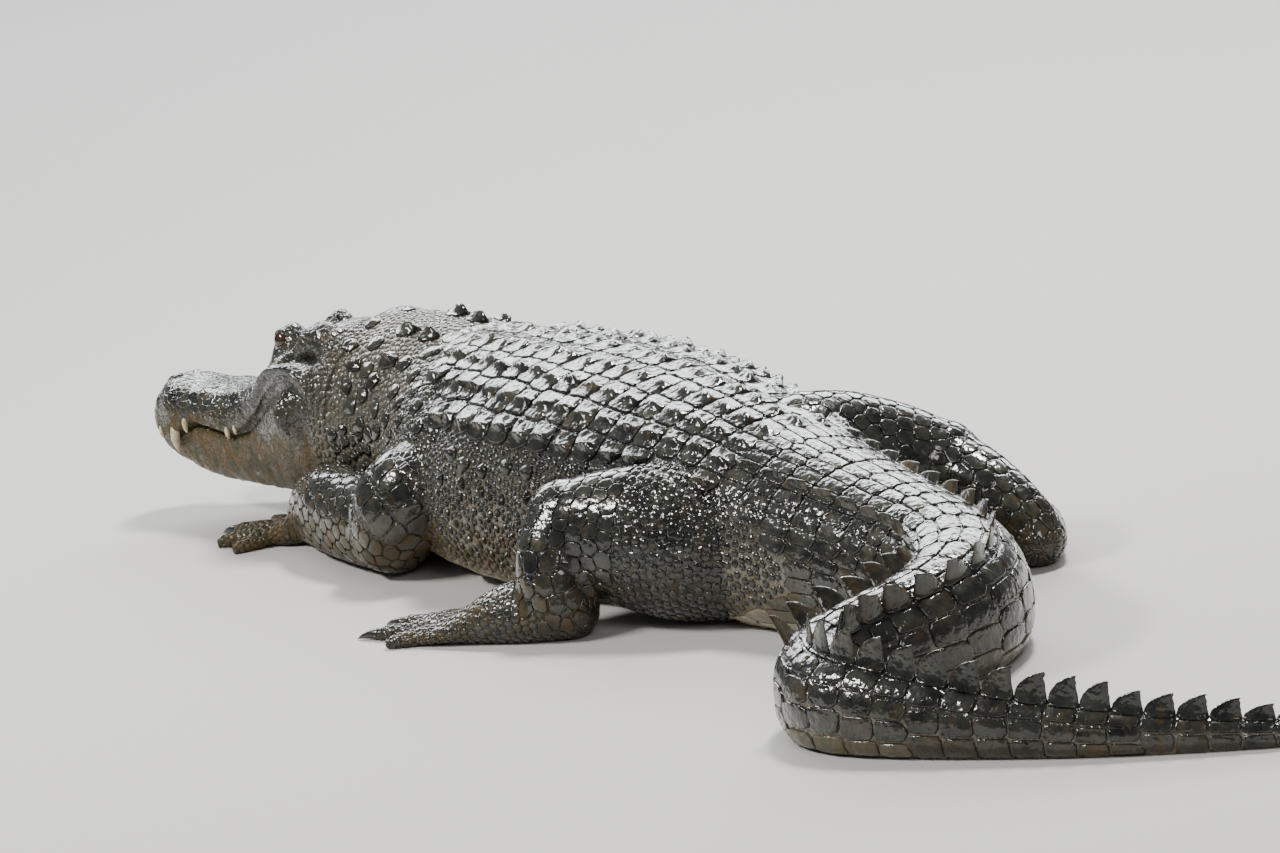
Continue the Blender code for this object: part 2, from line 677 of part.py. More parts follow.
def head_local(back, out, height):
    """A point of the head: behind the snout tip, out to the left, and above the ground."""
    point, _along, left = spine_frame(SNOUT_TIP + back)
    return point + left * out + Vector((0.0, 0.0, height))


def eye_centre(side):
    return head_local(EYE_BACK, side * EYE_OUT, EYE_HEIGHT + side * EYE_OUT * ROOF_LEAN)


def make_head():
    """The upper head: roof, humps, sockets, nostrils, and the teeth that the closed mouth shows."""
    angles = [180.0 * k / HEAD_COLUMNS for k in range(HEAD_COLUMNS)]
    angles += [180.0 + 180.0 * k / LIP_COLUMNS for k in range(LIP_COLUMNS)]
    length = HEAD_BACK - SNOUT_TIP

    def place_vertex(row, column):
        back = length * (row / HEAD_ROWS) ** HEAD_ROW_GROWTH
        shift = -GAP / 2 if row == HEAD_ROWS else 0.0
        return head_point(back, angles[column], shift)

    bm = rolled_grid(HEAD_ROWS, len(angles), place_vertex)
    head = finish("head", bm, HIDE)
    heading = math.atan2(*reversed(spine_frame(SNOUT_TIP + EYE_BACK)[1].xy))
    socket = EYE_RADIUS + GAP
    cutters = []
    for side in (1, -1):
        cutters.append(ball(f"socket_{side}", eye_centre(side), (socket,) * 3))
        opening = head_local(EYE_BACK - OPENING_FORWARD, side * (EYE_OUT + OPENING_OUT), eye_centre(side).z)
        cutters.append(ball(f"opening_{side}", opening, EYE_OPENING, heading))
        nostril = head_local(NOSTRIL_BACK, side * NOSTRIL_OUT, NOSTRIL_HEIGHT)
        cutters.append(ball(f"nostril_{side}", nostril, NOSTRIL_SIZE, heading, 1))
    combine(head, cutters, "DIFFERENCE")
    teeth = []
    for side in (1, -1):
        for number, (back, out, radius) in enumerate(TEETH):
            half_width, _top, lip, _jaw, _under = smooth_row(HEAD_SECTIONS, back, HEAD_BLEND)
            root = head_local(back, side * (half_width - radius), lip + TOOTH_ROOT)
            point = head_local(back, side * (half_width - radius * 0.5), lip - out)
            teeth.append(tooth_solid(f"tooth_{side}_{number}", root, point, radius))
    combine(head, teeth, "UNION")
    finish_material(head, HIDE, 0.3)
    return head


def make_jaw():
    """The lower jaw and throat, cut clear of the upper teeth."""
    angles = [180.0 * k / LIP_COLUMNS for k in range(LIP_COLUMNS)]
    angles += [180.0 + 180.0 * k / JAW_COLUMNS for k in range(JAW_COLUMNS)]
    length = HEAD_BACK - SNOUT_TIP

    def place_vertex(row, column):
        back = JAW_TIP_BACK + (length - JAW_TIP_BACK) * (row / HEAD_ROWS) ** HEAD_ROW_GROWTH
        shift = -GAP / 2 if row == HEAD_ROWS else 0.0
        return jaw_point(back, angles[column], shift)

    jaw = finish("lower_jaw", rolled_grid(HEAD_ROWS, len(angles), place_vertex), HIDE_LOW)
    combine(jaw, [swollen_copy(bpy.data.objects["head"], JOINT_CLEARANCE)], "DIFFERENCE")
    finish_material(jaw, HIDE_LOW, 0.4)


def make_eyes():
    for name, side in (("eye_left", 1), ("eye_right", -1)):
        eye = ball(name, eye_centre(side), (EYE_RADIUS,) * 3)
        finish_material(eye, EYE_GOLD, 0.08)


def make_limb(side, upper, lower, foot, names):
    """One limb: the upper segment grows from the trunk, the lower from the upper, the foot from it."""
    body_names, upper_name, lower_name, foot_name = names
    upper_solid = limb_solid(f"{side}_{upper_name}", upper, HIDE)
    lower_solid = limb_solid(f"{side}_{lower_name}", lower, HIDE)
    foot_solid = make_foot(f"{side}_{foot_name}", *foot)
    bodies = [bpy.data.objects[name] for name in body_names]
    combine(upper_solid, [swollen_copy(body, JOINT_CLEARANCE) for body in bodies], "DIFFERENCE")
    nearby = [swollen_copy(body, JOINT_CLEARANCE) for body in bodies + [upper_solid]]
    combine(lower_solid, nearby, "DIFFERENCE")
    nearby = [swollen_copy(body, JOINT_CLEARANCE) for body in bodies + [upper_solid, lower_solid]]
    combine(foot_solid, nearby, "DIFFERENCE")
    for solid in (upper_solid, lower_solid, foot_solid):
        cut_flat(solid)


def main():
    random.seed(7)
    clear_scene()
    make_neck()
    make_trunk("chest", NECK_BACK, CHEST_BACK)
    make_trunk("belly_and_hips", CHEST_BACK, VENT)
    stops = (VENT, *TAIL_JOINTS, TAIL_TIP)
    for number, (front, back) in enumerate(zip(stops, stops[1:]), start=1):
        make_tail(f"tail_{number}", front, back)
    make_head()
    make_jaw()
    make_eyes()
    arms = (("chest", "neck", "lower_jaw"), "upper_arm", "forearm", "forefoot")
    legs = (("belly_and_hips", "tail_1"), "thigh", "shin", "hind_foot")
    hand = (HAND_DIGITS, HAND_PALM, None)
    foot = (FOOT_DIGITS, FOOT_PALM, FOOT_WEB)
    make_limb("left", LEFT_UPPER_ARM, LEFT_FOREARM, (LEFT_HAND, LEFT_HAND_TURN, *hand), arms)
    make_limb("right", RIGHT_UPPER_ARM, RIGHT_FOREARM, (RIGHT_HAND, RIGHT_HAND_TURN, *hand), arms)
    make_limb("left", LEFT_THIGH, LEFT_SHIN, (LEFT_FOOT, LEFT_FOOT_TURN, *foot), legs)
    make_limb("right", RIGHT_THIGH, RIGHT_SHIN, (RIGHT_FOOT, RIGHT_FOOT_TURN, *foot), legs)


main()
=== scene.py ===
# %% [markdown]
# # An alligator, still and life-size
# A resting alligator is a museum piece made of hide: a dark, wet skin over the flesh, and on it
# thousands of scales. The skin is one closed mesh, so that no seam shows at a joint, and every
# scale is a small solid of its own that stands on the skin and leaves a dark groove round it.

# %% Load the frame
import math
import random

import bmesh
import bpy
import numpy as np
from mathutils import Matrix, Vector, noise
from mathutils.bvhtree import BVHTree
from mathutils.kdtree import KDTree


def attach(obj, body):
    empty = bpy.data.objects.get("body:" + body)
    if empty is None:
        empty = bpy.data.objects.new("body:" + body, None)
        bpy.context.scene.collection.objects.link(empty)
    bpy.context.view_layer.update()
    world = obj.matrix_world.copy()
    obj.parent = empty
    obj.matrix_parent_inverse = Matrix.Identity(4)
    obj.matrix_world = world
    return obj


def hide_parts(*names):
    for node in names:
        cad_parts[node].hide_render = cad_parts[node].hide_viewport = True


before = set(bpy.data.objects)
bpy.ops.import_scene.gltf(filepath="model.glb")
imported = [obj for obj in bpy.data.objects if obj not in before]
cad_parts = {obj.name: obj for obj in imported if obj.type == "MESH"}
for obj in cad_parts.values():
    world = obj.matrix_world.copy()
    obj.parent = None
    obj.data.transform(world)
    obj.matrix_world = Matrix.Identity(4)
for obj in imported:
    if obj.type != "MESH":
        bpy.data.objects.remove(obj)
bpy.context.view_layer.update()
random.seed(11)
dice = np.random.default_rng(11)

# %% [markdown]
# Everything on the animal is placed by two numbers, as a taxidermist would say it: how far behind
# the vent, and at which angle round the body. The spine is walked in short steps from its headings,
# so that the tail's bends are smooth, and the sections give the body's width and height.

# %% Sizes of the body
VENT_PLACE = (0.081, 0.007)
SNOUT_TIP = -1.21
HEAD_BACK = -0.81
TAIL_TIP = 1.34
SPINE_HEADINGS = (
    (-1.21, 20), (-0.88, 20), (-0.78, 14), (-0.68, 7), (-0.60, 2), (-0.50, 0), (0.00, 0), (0.12, 2),
    (0.26, 0), (0.37, -45), (0.46, -95), (0.49, -100), (0.54, -86), (0.65, 12), (0.71, 23),
    (0.89, 31), (1.09, 41), (1.34, 47),
)
SPINE_STEP = 0.005
HEADING_BLEND = 0.06
BODY_SECTIONS = (
    (-0.81, 0.130, 0.243, 0.034), (-0.74, 0.130, 0.240, 0.018), (-0.68, 0.145, 0.232, 0.000),
    (-0.58, 0.172, 0.234, 0.000), (-0.42, 0.190, 0.236, 0.000), (-0.25, 0.170, 0.230, 0.000),
    (-0.10, 0.135, 0.210, 0.000), (0.05, 0.110, 0.180, 0.000), (0.20, 0.088, 0.152, 0.000),
    (0.40, 0.064, 0.122, 0.000), (0.55, 0.048, 0.102, 0.000), (0.70, 0.036, 0.086, 0.000),
    (0.85, 0.025, 0.058, 0.000), (1.00, 0.017, 0.038, 0.000), (1.15, 0.011, 0.023, 0.000),
    (1.34, 0.0035, 0.006, 0.000),
)
SECTION_BLEND = 0.03
WIDEST_AT = 0.42
BACK_ROUNDNESS = 0.95
FLANK_ROUNDNESS = 0.62
BELLY_FLAT = 1.14
BELLY_ROUNDNESS = 0.75
HEAD_SECTIONS = (
    (0.000, 0.022, 0.132, 0.110, 0.018, 0.096), (0.018, 0.040, 0.151, 0.106, 0.034, 0.080),
    (0.055, 0.056, 0.168, 0.103, 0.047, 0.066), (0.090, 0.056, 0.163, 0.122, 0.052, 0.054),
    (0.130, 0.064, 0.161, 0.118, 0.058, 0.047), (0.165, 0.072, 0.164, 0.114, 0.066, 0.045),
    (0.200, 0.080, 0.170, 0.122, 0.075, 0.044), (0.235, 0.091, 0.184, 0.144, 0.088, 0.044),
    (0.265, 0.103, 0.203, 0.170, 0.102, 0.044), (0.300, 0.116, 0.220, 0.188, 0.117, 0.044),
    (0.340, 0.127, 0.233, 0.196, 0.129, 0.042), (0.370, 0.130, 0.240, 0.176, 0.131, 0.038),
    (0.400, 0.130, 0.243, 0.130, 0.130, 0.034),
)
HEAD_BLEND = 0.008
HEAD_ROUNDNESS = 0.72
HEAD_BLENDS_FROM = 0.27
# The skin lies this far inside the solids, which the scales fill up again.
COAT_DEPTH = 0.0016


# %% Walk the spine
def sample(table, places, blend):
    """Rows of a table at many places, each averaged over a short stretch on both sides."""
    rows = np.array(table, dtype=float)
    total = np.zeros((len(places), rows.shape[1] - 1))
    steps = np.linspace(-1.0, 1.0, 7)
    for step in steps:
        for column in range(total.shape[1]):
            total[:, column] += np.interp(places + blend * step, rows[:, 0], rows[:, column + 1])
    return total / len(steps)


def walk_spine():
    count = round((TAIL_TIP - SNOUT_TIP) / SPINE_STEP)
    places = SNOUT_TIP + SPINE_STEP * np.arange(count + 1)
    headings = np.radians(sample(SPINE_HEADINGS, places, HEADING_BLEND)[:, 0])
    middles = (headings[1:] + headings[:-1]) / 2
    points = np.zeros((count + 1, 2))
    points[1:] = np.cumsum(np.stack([np.cos(middles), np.sin(middles)], axis=1) * SPINE_STEP, axis=0)
    vent = round(-SNOUT_TIP / SPINE_STEP)
    return places, points + np.array(VENT_PLACE) - points[vent], headings


SPINE_PLACES, SPINE_POINTS, SPINE_ANGLES = walk_spine()


def spine_frame(places):
    """Where the spine is, its direction toward the tail, and the animal's left, for many places."""
    angle = np.interp(places, SPINE_PLACES, SPINE_ANGLES)
    x = np.interp(places, SPINE_PLACES, SPINE_POINTS[:, 0])
    y = np.interp(places, SPINE_PLACES, SPINE_POINTS[:, 1])
    flat = np.zeros_like(x)
    point = np.stack([x, y, flat], axis=1)
    along = np.stack([np.cos(angle), np.sin(angle), flat], axis=1)
    left = np.stack([along[:, 1], -along[:, 0], flat], axis=1)
    return point, along, left


print("spine from", SPINE_POINTS[0].round(3), "to", SPINE_POINTS[-1].round(3))

# %% [markdown]
# The head gets the most care. Its section is a squared arch over the lip line and a rounded jaw
# below it; brows, snout ridges, the nostril mound, the jaw's corner and the hollow between the eyes
# are soft swellings that are added to that section, the same on both sides.

# %% Shape of the head
EYE_BACK = 0.268
EYE_OUT = 0.0485
EYE_HEIGHT = 0.2190
EYE_RADIUS = 0.0135
# Distance behind the snout tip, distance out, reach along and across, height and squareness of each hump.
HEAD_HUMPS = (
    (0.267, 0.041, 0.0240, 0.0255, 0.0380, 3.4), (0.340, 0.066, 0.0300, 0.0220, 0.0080, 4.0),
    (0.315, 0.000, 0.0320, 0.0450, 0.0080, 4.0), (0.036, 0.016, 0.0140, 0.0110, 0.0045, 2.4),
)
# Distance behind the snout tip, angle up from the lips, reach of both, and how far it swells.
HEAD_SWELLINGS = (
    (0.034, 80, 0.020, 45, 0.0030), (0.040, 30, 0.030, 25, 0.0020), (0.088, 90, 0.022, 60, -0.0025),
    (0.190, 48, 0.070, 10, 0.0035), (0.215, 90, 0.045, 22, -0.0050), (0.255, 90, 0.040, 18, -0.0060),
    (0.290, 20, 0.050, 8, 0.0110), (0.318, -8, 0.018, 6, 0.0170), (0.262, 3, 0.030, 5, -0.0040),
    (0.322, 38, 0.040, 11, -0.0180), (0.350, 36, 0.030, 12, -0.0160), (0.352, -12, 0.012, 14, -0.0060),
    (0.350, 52, 0.040, 9, 0.0020), (0.345, 34, 0.035, 9, -0.0040), (0.385, 5, 0.025, 30, 0.0030),
    (0.205, 20, 0.020, 12, 0.0020), (0.150, 12, 0.025, 12, 0.0020), (0.110, 25, 0.015, 20, -0.0020),
)
# The roof leans a little: how much higher its left side is for each metre out, and where that fades.
ROOF_LEAN = 0.07
LEAN_FADES = (0.34, 0.40)
# The left ear's cover stands higher than the right one's, which rests on the neck's fold.
LEFT_EAR = (0.338, 0.066, 0.0290, 0.0225, 0.0088, 5.0)
LIP_DEPTH = 0.0100
LIP_FADES_FROM = 0.352
LIP_ENDS_AT = 0.374


def signed_power(values, power):
    return np.sign(values) * np.abs(values) ** power


def fold(degrees):
    """Angles of both sides brought to one, from -90 under the chin through 0 at the lips to 90 on top."""
    turned = (degrees + 90.0) % 360.0 - 90.0
    return np.where(turned > 90.0, 180.0 - turned, turned)


def head_rise(back, degrees):
    rise = np.zeros_like(back)
    folded = fold(degrees)
    for at, angle, reach, spread, height in HEAD_SWELLINGS:
        rise += height * np.exp(-((back - at) / reach) ** 2 - ((folded - angle) / spread) ** 2)
    return rise


def head_profile(back, degrees):
    """Side, height and outward direction of the head's section, mouth line and all."""
    half, top, lip, jaw_half, under = sample(HEAD_SECTIONS, back, HEAD_BLEND).T
    blend = np.clip((back - HEAD_BLENDS_FROM) / (HEAD_BACK - SNOUT_TIP - HEAD_BLENDS_FROM), 0, 1)
    roundness = HEAD_ROUNDNESS + (BACK_ROUNDNESS - HEAD_ROUNDNESS) * blend
    turned = (degrees + 90.0) % 360.0 - 90.0
    across = np.cos(np.radians(degrees))
    upward = np.sin(np.radians(degrees))
    roof_side = half * signed_power(across, roundness)
    roof_height = lip + (top - lip) * np.abs(upward) ** roundness
    jaw_side = jaw_half * signed_power(across, FLANK_ROUNDNESS)
    jaw_drop = np.minimum(1.0, BELLY_FLAT * np.abs(upward) ** BELLY_ROUNDNESS)
    jaw_height = lip - (lip - under) * jaw_drop
    roof = upward >= 0
    side = np.where(roof, roof_side, jaw_side)
    height = np.where(roof, roof_height, jaw_height)
    for at, out, along, aside, swell, squareness in HEAD_HUMPS:
        away = np.hypot((back - at) / along, (np.abs(side) - out) / aside)
        height = height + swell * np.exp(-away ** squareness) * np.maximum(upward, 0.0)
    at, out, along, aside, swell, squareness = LEFT_EAR
    away = np.hypot((back - at) / along, (side - out) / aside)
    height = height + swell * np.exp(-away ** squareness) * np.maximum(upward, 0.0)
    low, high = LEAN_FADES
    height = height + ROOF_LEAN * np.clip((high - back) / (high - low), 0, 1) * side * np.maximum(upward, 0.0)
    rise = head_rise(back, degrees) * np.clip(back / 0.02, 0, 1) * (1 - blend ** 4)
    side = side + across * rise
    height = height + upward * rise
    fade = np.clip((LIP_ENDS_AT - back) / (LIP_ENDS_AT - LIP_FADES_FROM), 0, 1) * np.clip(back / 0.03, 0.3, 1)
    below = -fold(degrees)
    groove = np.exp(-((below - 1.6) / 1.5) ** 2) * fade
    side = side - np.sign(across) * groove * LIP_DEPTH
    overhang = np.exp(-((below + 2.0) / 2.2) ** 2) * fade
    height = height - overhang * 0.0012
    return side, height, across, upward


# %% Shape of the neck, trunk and tail
# Place, angle up from the flank, reach of both, and how far it swells: the shoulder's crease and
# blade, the folds of the neck, the hips and the sag of the belly.
BODY_SWELLINGS = (
    (-0.490, -24, 0.014, 16, -0.0090), (-0.480, 4, 0.014, 16, -0.0110), (-0.505, 27, 0.014, 13, -0.0100),
    (-0.560, 47, 0.014, 12, -0.0080), (-0.620, 66, 0.014, 12, -0.0060), (-0.670, 86, 0.012, 12, -0.0040),
    (-0.570, 25, 0.050, 22, 0.0060), (-0.440, 0, 0.040, 35, 0.0050), (-0.690, -5, 0.025, 30, -0.0040),
    (-0.770, -10, 0.012, 40, -0.0030), (-0.800, -30, 0.012, 40, -0.0035), (-0.735, 62, 0.030, 20, 0.0030),
    (-0.500, -20, 0.060, 30, 0.0050), (-0.330, -30, 0.080, 26, 0.0050), (-0.240, 8, 0.030, 30, -0.0040),
    (-0.060, 30, 0.060, 25, 0.0050), (0.010, -5, 0.070, 30, 0.0070),
)


def body_profile(place, degrees):
    """Side, height and outward direction of a section behind the head."""
    half, top, bottom = sample(BODY_SECTIONS, place, SECTION_BLEND).T
    across = np.cos(np.radians(degrees))
    upward = np.sin(np.radians(degrees))
    middle = bottom + WIDEST_AT * (top - bottom)
    drop = np.minimum(1.0, BELLY_FLAT * np.abs(upward) ** BELLY_ROUNDNESS)
    back = upward >= 0
    side = half * signed_power(across, np.where(back, BACK_ROUNDNESS, FLANK_ROUNDNESS))
    height = np.where(back, middle + (top - middle) * np.abs(upward) ** BACK_ROUNDNESS,
                      middle - (middle - bottom) * drop)
    folded = fold(degrees)
    rise = np.zeros_like(place)
    for at, angle, reach, spread, swell in BODY_SWELLINGS:
        rise += swell * np.exp(-((place - at) / reach) ** 2 - ((folded - angle) / spread) ** 2)
    side = side + across * rise
    height = height + upward * rise
    return side, height, across, upward


def body_surface(places, degrees, lift=0.0):
    """Points on the hide's surface, for arrays of places and angles, lifted out of it by a height."""
    places = np.asarray(places, dtype=float)
    degrees = np.asarray(degrees, dtype=float)
    head = head_profile(np.maximum(places - SNOUT_TIP, 0.0), degrees)
    body = body_profile(places, degrees)
    in_head = places < HEAD_BACK
    side, height, across, upward = (np.where(in_head, a, b) for a, b in zip(head, body))
    point, _along, left = spine_frame(places)
    out = side + across * lift
    up = np.maximum(height + upward * lift, 0.0)
    return point + left * out[:, None] + np.array([0.0, 0.0, 1.0]) * up[:, None]


print("snout at", body_surface([SNOUT_TIP], [90.0])[0].round(3))

# %% [markdown]
# The skin of the head, neck, trunk and tail is a flat grid that is rolled into a tube: a bmesh grid
# has one row for each place and one column for each angle, so moving its corners is all it takes.
# Rows lie close together on the head, where the small forms are, and further apart on the tail.

# %% Roll the skin of the body
COLUMNS = 160


def skin_places():
    head = SNOUT_TIP + (HEAD_BACK - SNOUT_TIP) * (np.linspace(0, 1, 171) ** 1.25)
    neck = np.linspace(HEAD_BACK, -0.68, 19)[1:]
    shoulder = np.linspace(-0.68, -0.44, 46)[1:]
    trunk = np.linspace(-0.44, 0.0, 42)[1:]
    tail = np.linspace(0.0, TAIL_TIP, 131)[1:]
    return np.concatenate([head, neck, shoulder, trunk, tail])


def rolled_grid(rows, columns, positions):
    """A grid rolled into a closed tube; positions holds a point for each row and column."""
    bm = bmesh.new()
    bmesh.ops.create_grid(bm, x_segments=rows, y_segments=columns, size=0.5)
    for vertex in bm.verts:
        row = round((vertex.co.x + 0.5) * rows)
        column = round((vertex.co.y + 0.5) * columns)
        vertex.co = positions[row, column % columns]
    bmesh.ops.remove_doubles(bm, verts=bm.verts, dist=0.000001)
    rims = [edge for edge in bm.edges if edge.is_boundary]
    bmesh.ops.holes_fill(bm, edges=rims, sides=0)
    bmesh.ops.recalc_face_normals(bm, faces=bm.faces)
    return bm


def as_object(name, bm, smooth=True):
    mesh = bpy.data.meshes.new(name)
    bm.to_mesh(mesh)
    bm.free()
    thing = bpy.data.objects.new(name, mesh)
    bpy.context.scene.collection.objects.link(thing)
    if smooth:
        mesh.shade_smooth()
    return thing


def roll_body():
    places = skin_places()
    turn = 2 * np.pi * np.arange(COLUMNS) / COLUMNS
    bunch = 0.22 * np.clip((-0.70 - places) / 0.11, 0, 1)
    degrees = np.degrees(turn[None, :] - bunch[:, None] * np.sin(2 * turn)[None, :])
    flat_places = np.repeat(places, COLUMNS)
    points = body_surface(flat_places, degrees.ravel(), -COAT_DEPTH)
    positions = points.reshape(len(places), COLUMNS, 3)
    return as_object("body_skin", rolled_grid(len(places) - 1, COLUMNS, positions))


body_skin = roll_body()
print("body skin faces", len(body_skin.data.polygons))

# %% [markdown]
# A limb is a run of rings along a smooth path, each an ellipse across the path, with both ends
# rounded. The segments, the palm and the digits of a foot only overlap at first. A voxel remesh then
# draws one surface over all of them, as skin does over muscle, and smoothing rounds the folds.

# %% Sizes of the limbs
LIMBS = {
    "left_upper_arm": ((-0.546, -0.118, 0.104, 0.052, 0.054), (-0.549, -0.162, 0.096, 0.060, 0.060),
                       (-0.568, -0.184, 0.078, 0.058, 0.056), (-0.590, -0.184, 0.052, 0.050, 0.048)),
    "left_forearm": ((-0.604, -0.182, 0.046, 0.040, 0.044), (-0.670, -0.180, 0.053, 0.044, 0.052),
                     (-0.732, -0.178, 0.056, 0.044, 0.054), (-0.790, -0.174, 0.048, 0.036, 0.044),
                     (-0.830, -0.168, 0.032, 0.028, 0.030)),
    "right_upper_arm": ((-0.640, 0.060, 0.150, 0.052, 0.060), (-0.665, 0.118, 0.120, 0.050, 0.052),
                        (-0.655, 0.160, 0.075, 0.044, 0.046), (-0.640, 0.172, 0.046, 0.040, 0.042)),
    "right_forearm": ((-0.646, 0.172, 0.046, 0.036, 0.042), (-0.695, 0.178, 0.050, 0.042, 0.048),
                      (-0.745, 0.178, 0.046, 0.038, 0.044), (-0.795, 0.176, 0.032, 0.028, 0.032),
                      (-0.825, 0.175, 0.024, 0.024, 0.022)),
    "left_thigh": ((-0.020, -0.066, 0.076, 0.074, 0.076), (-0.070, -0.104, 0.086, 0.074, 0.084),
                   (-0.118, -0.142, 0.096, 0.064, 0.076), (-0.152, -0.170, 0.108, 0.052, 0.060),
                   (-0.174, -0.184, 0.114, 0.043, 0.046)),
    "left_shin": ((-0.174, -0.182, 0.118, 0.040, 0.040), (-0.168, -0.200, 0.094, 0.043, 0.044),
                  (-0.160, -0.212, 0.064, 0.043, 0.042), (-0.152, -0.216, 0.040, 0.038, 0.036)),
    "right_thigh": ((-0.080, 0.050, 0.120, 0.070, 0.085), (-0.070, 0.110, 0.112, 0.066, 0.082),
                    (-0.040, 0.160, 0.106, 0.054, 0.064), (-0.015, 0.192, 0.100, 0.042, 0.046)),
    "right_shin": ((-0.018, 0.190, 0.100, 0.038, 0.038), (0.022, 0.200, 0.086, 0.038, 0.040),
                   (0.068, 0.210, 0.060, 0.034, 0.036), (0.100, 0.216, 0.038, 0.028, 0.032)),
}
# Where each foot starts, which way it points in degrees, and whether it is a hand.
FEET = {
    "left_forefoot": ((-0.838, -0.166), 196, "hand"), "right_forefoot": ((-0.818, 0.175), 172, "hand"),
    "left_hind_foot": ((-0.152, -0.214), 206, "foot"), "right_hind_foot": ((0.100, 0.218), 160, "foot"),
}
# Turn from the foot's line, length, and whether the digit carries a claw.
DIGITS = {
    "hand": ((-62, 0.064, True), (-30, 0.088, True), (-2, 0.096, True), (28, 0.084, False), (60, 0.062, False)),
    "foot": ((-25, 0.105, True), (-9, 0.138, True), (7, 0.140, True), (24, 0.112, False)),
}
# Distance along the foot, height of the middle, half breadth and half height.
PALMS = {
    "hand": ((-0.006, 0.018, 0.022, 0.016), (0.020, 0.016, 0.032, 0.019), (0.044, 0.012, 0.034, 0.015),
             (0.064, 0.008, 0.034, 0.008)),
    "foot": ((-0.014, 0.026, 0.030, 0.026), (0.030, 0.028, 0.040, 0.034), (0.070, 0.025, 0.042, 0.034),
             (0.110, 0.017, 0.045, 0.022), (0.150, 0.009, 0.049, 0.010), (0.180, 0.005, 0.049, 0.005)),
}
PALM_LENGTH = {"hand": 0.058, "foot": 0.145}
PALM_BREADTH = {"hand": 0.034, "foot": 0.042}
DIGIT_THICKNESS = 0.0120
CLAW_LENGTH = 0.026
# Part of a digit's length, height of its middle and its thickness, knuckles included.
DIGIT_STAGES = ((-0.25, 1.20, 0.80), (0.0, 1.10, 1.00), (0.22, 1.02, 1.08), (0.40, 0.92, 0.94), (0.58, 0.82, 1.08),
                (0.74, 0.70, 0.88), (0.88, 0.56, 0.90), (1.0, 0.42, 0.66))
LIMB_VOXEL = 0.0047


# %% Shape the limbs
def rings_along(points, sizes, count=44):
    """Rings along a smooth path: middles, two directions across, and half sizes, with rounded ends."""
    table = [(k, *point, *size) for k, (point, size) in enumerate(zip(points, sizes))]
    path = sample(table, np.linspace(0, len(points) - 1, count), 0.35)
    middles, halves = path[:, :3], path[:, 3:]
    along = np.gradient(middles, axis=0)
    along /= np.linalg.norm(along, axis=1)[:, None]
    aside = np.zeros_like(along)
    first = np.cross(along[0], (0.0, 0.0, 1.0))
    for k in range(count):
        first = first - along[k] * first.dot(along[k])
        first = first / np.linalg.norm(first)
        aside[k] = first
    upward = np.cross(aside, along)
    ends = np.array([0.0, 0.35, 0.62, 0.80, 0.93])
    start = [middles[0] - along[0] * halves[0].mean() * math.sqrt(1 - part * part) for part in ends]
    stop = [middles[-1] + along[-1] * halves[-1].mean() * math.sqrt(1 - part * part) for part in ends[::-1]]
    middles = np.concatenate([start, middles, stop])
    aside = np.concatenate([aside[:1].repeat(5, 0), aside, aside[-1:].repeat(5, 0)])
    upward = np.concatenate([upward[:1].repeat(5, 0), upward, upward[-1:].repeat(5, 0)])
    halves = np.concatenate([halves[0] * ends[:, None], halves, halves[-1] * ends[::-1, None]])
    return {"middle": middles, "aside": aside, "upward": upward, "half": halves}


def ring_surface(rings, part, degrees):
    """Points on a limb for arrays of a part of its length and an angle round it."""
    index = np.clip(part, 0, 1) * (len(rings["middle"]) - 1)
    low = np.minimum(index.astype(int), len(rings["middle"]) - 2)
    share = (index - low)[:, None]
    middle, aside, upward, half = (rings[key][low] * (1 - share) + rings[key][low + 1] * share
                                   for key in ("middle", "aside", "upward", "half"))
    turn = np.radians(degrees)
    return middle + aside * (np.cos(turn) * half[:, 0])[:, None] + upward * (np.sin(turn) * half[:, 1])[:, None]


def tube_from_rings(name, rings, columns=28):
    rows = len(rings["middle"])
    part = np.repeat(np.linspace(0, 1, rows), columns)
    degrees = np.tile(360 * np.arange(columns) / columns, rows)
    positions = ring_surface(rings, part, degrees).reshape(rows, columns, 3)
    return as_object(name, rolled_grid(rows - 1, columns, positions))


def from_vent(x, y, z):
    return np.array([x + VENT_PLACE[0], y + VENT_PLACE[1], z])


LIMB_RINGS = {name: rings_along([from_vent(*row[:3]) for row in rows], [row[3:] for row in rows])
              for name, rows in LIMBS.items()}


def foot_rings(name):
    """The palm and the digits of one foot, as rings, with each digit's root, direction and length."""
    start, turn, kind = FEET[name]
    facing = math.radians(turn)
    mirror = 1 if start[1] < 0 else -1
    forward = np.array([math.cos(facing), math.sin(facing), 0.0])
    root = from_vent(*start, 0.0)
    palm = [root + forward * row[0] + np.array([0, 0, row[1]]) for row in PALMS[kind]]
    parts = {f"{name}_palm": rings_along(palm, [row[2:] for row in PALMS[kind]])}
    digits = []
    for number, (spread, reach, clawed) in enumerate(DIGITS[kind]):
        angle = facing + math.radians(spread) * mirror
        direction = np.array([math.cos(angle), math.sin(angle), 0.0])
        base = root + forward * PALM_LENGTH[kind] * 0.62 + direction * PALM_BREADTH[kind] * 0.2
        middles = [base + direction * reach * part + np.array([0, 0, DIGIT_THICKNESS * height])
                   for part, height, _size in DIGIT_STAGES]
        sizes = [(DIGIT_THICKNESS * size, DIGIT_THICKNESS * size * 0.9) for _part, _height, size in DIGIT_STAGES]
        parts[f"{name}_digit_{number}"] = rings_along(middles, sizes)
        digits.append((base, direction, reach, clawed))
    return parts, digits


FOOT_RINGS = {}
FOOT_DIGITS = {}
for foot_name in FEET:
    foot_parts, foot_digits = foot_rings(foot_name)
    FOOT_RINGS.update(foot_parts)
    FOOT_DIGITS[foot_name] = foot_digits
print("limb segments", len(LIMB_RINGS), "foot pieces", len(FOOT_RINGS))


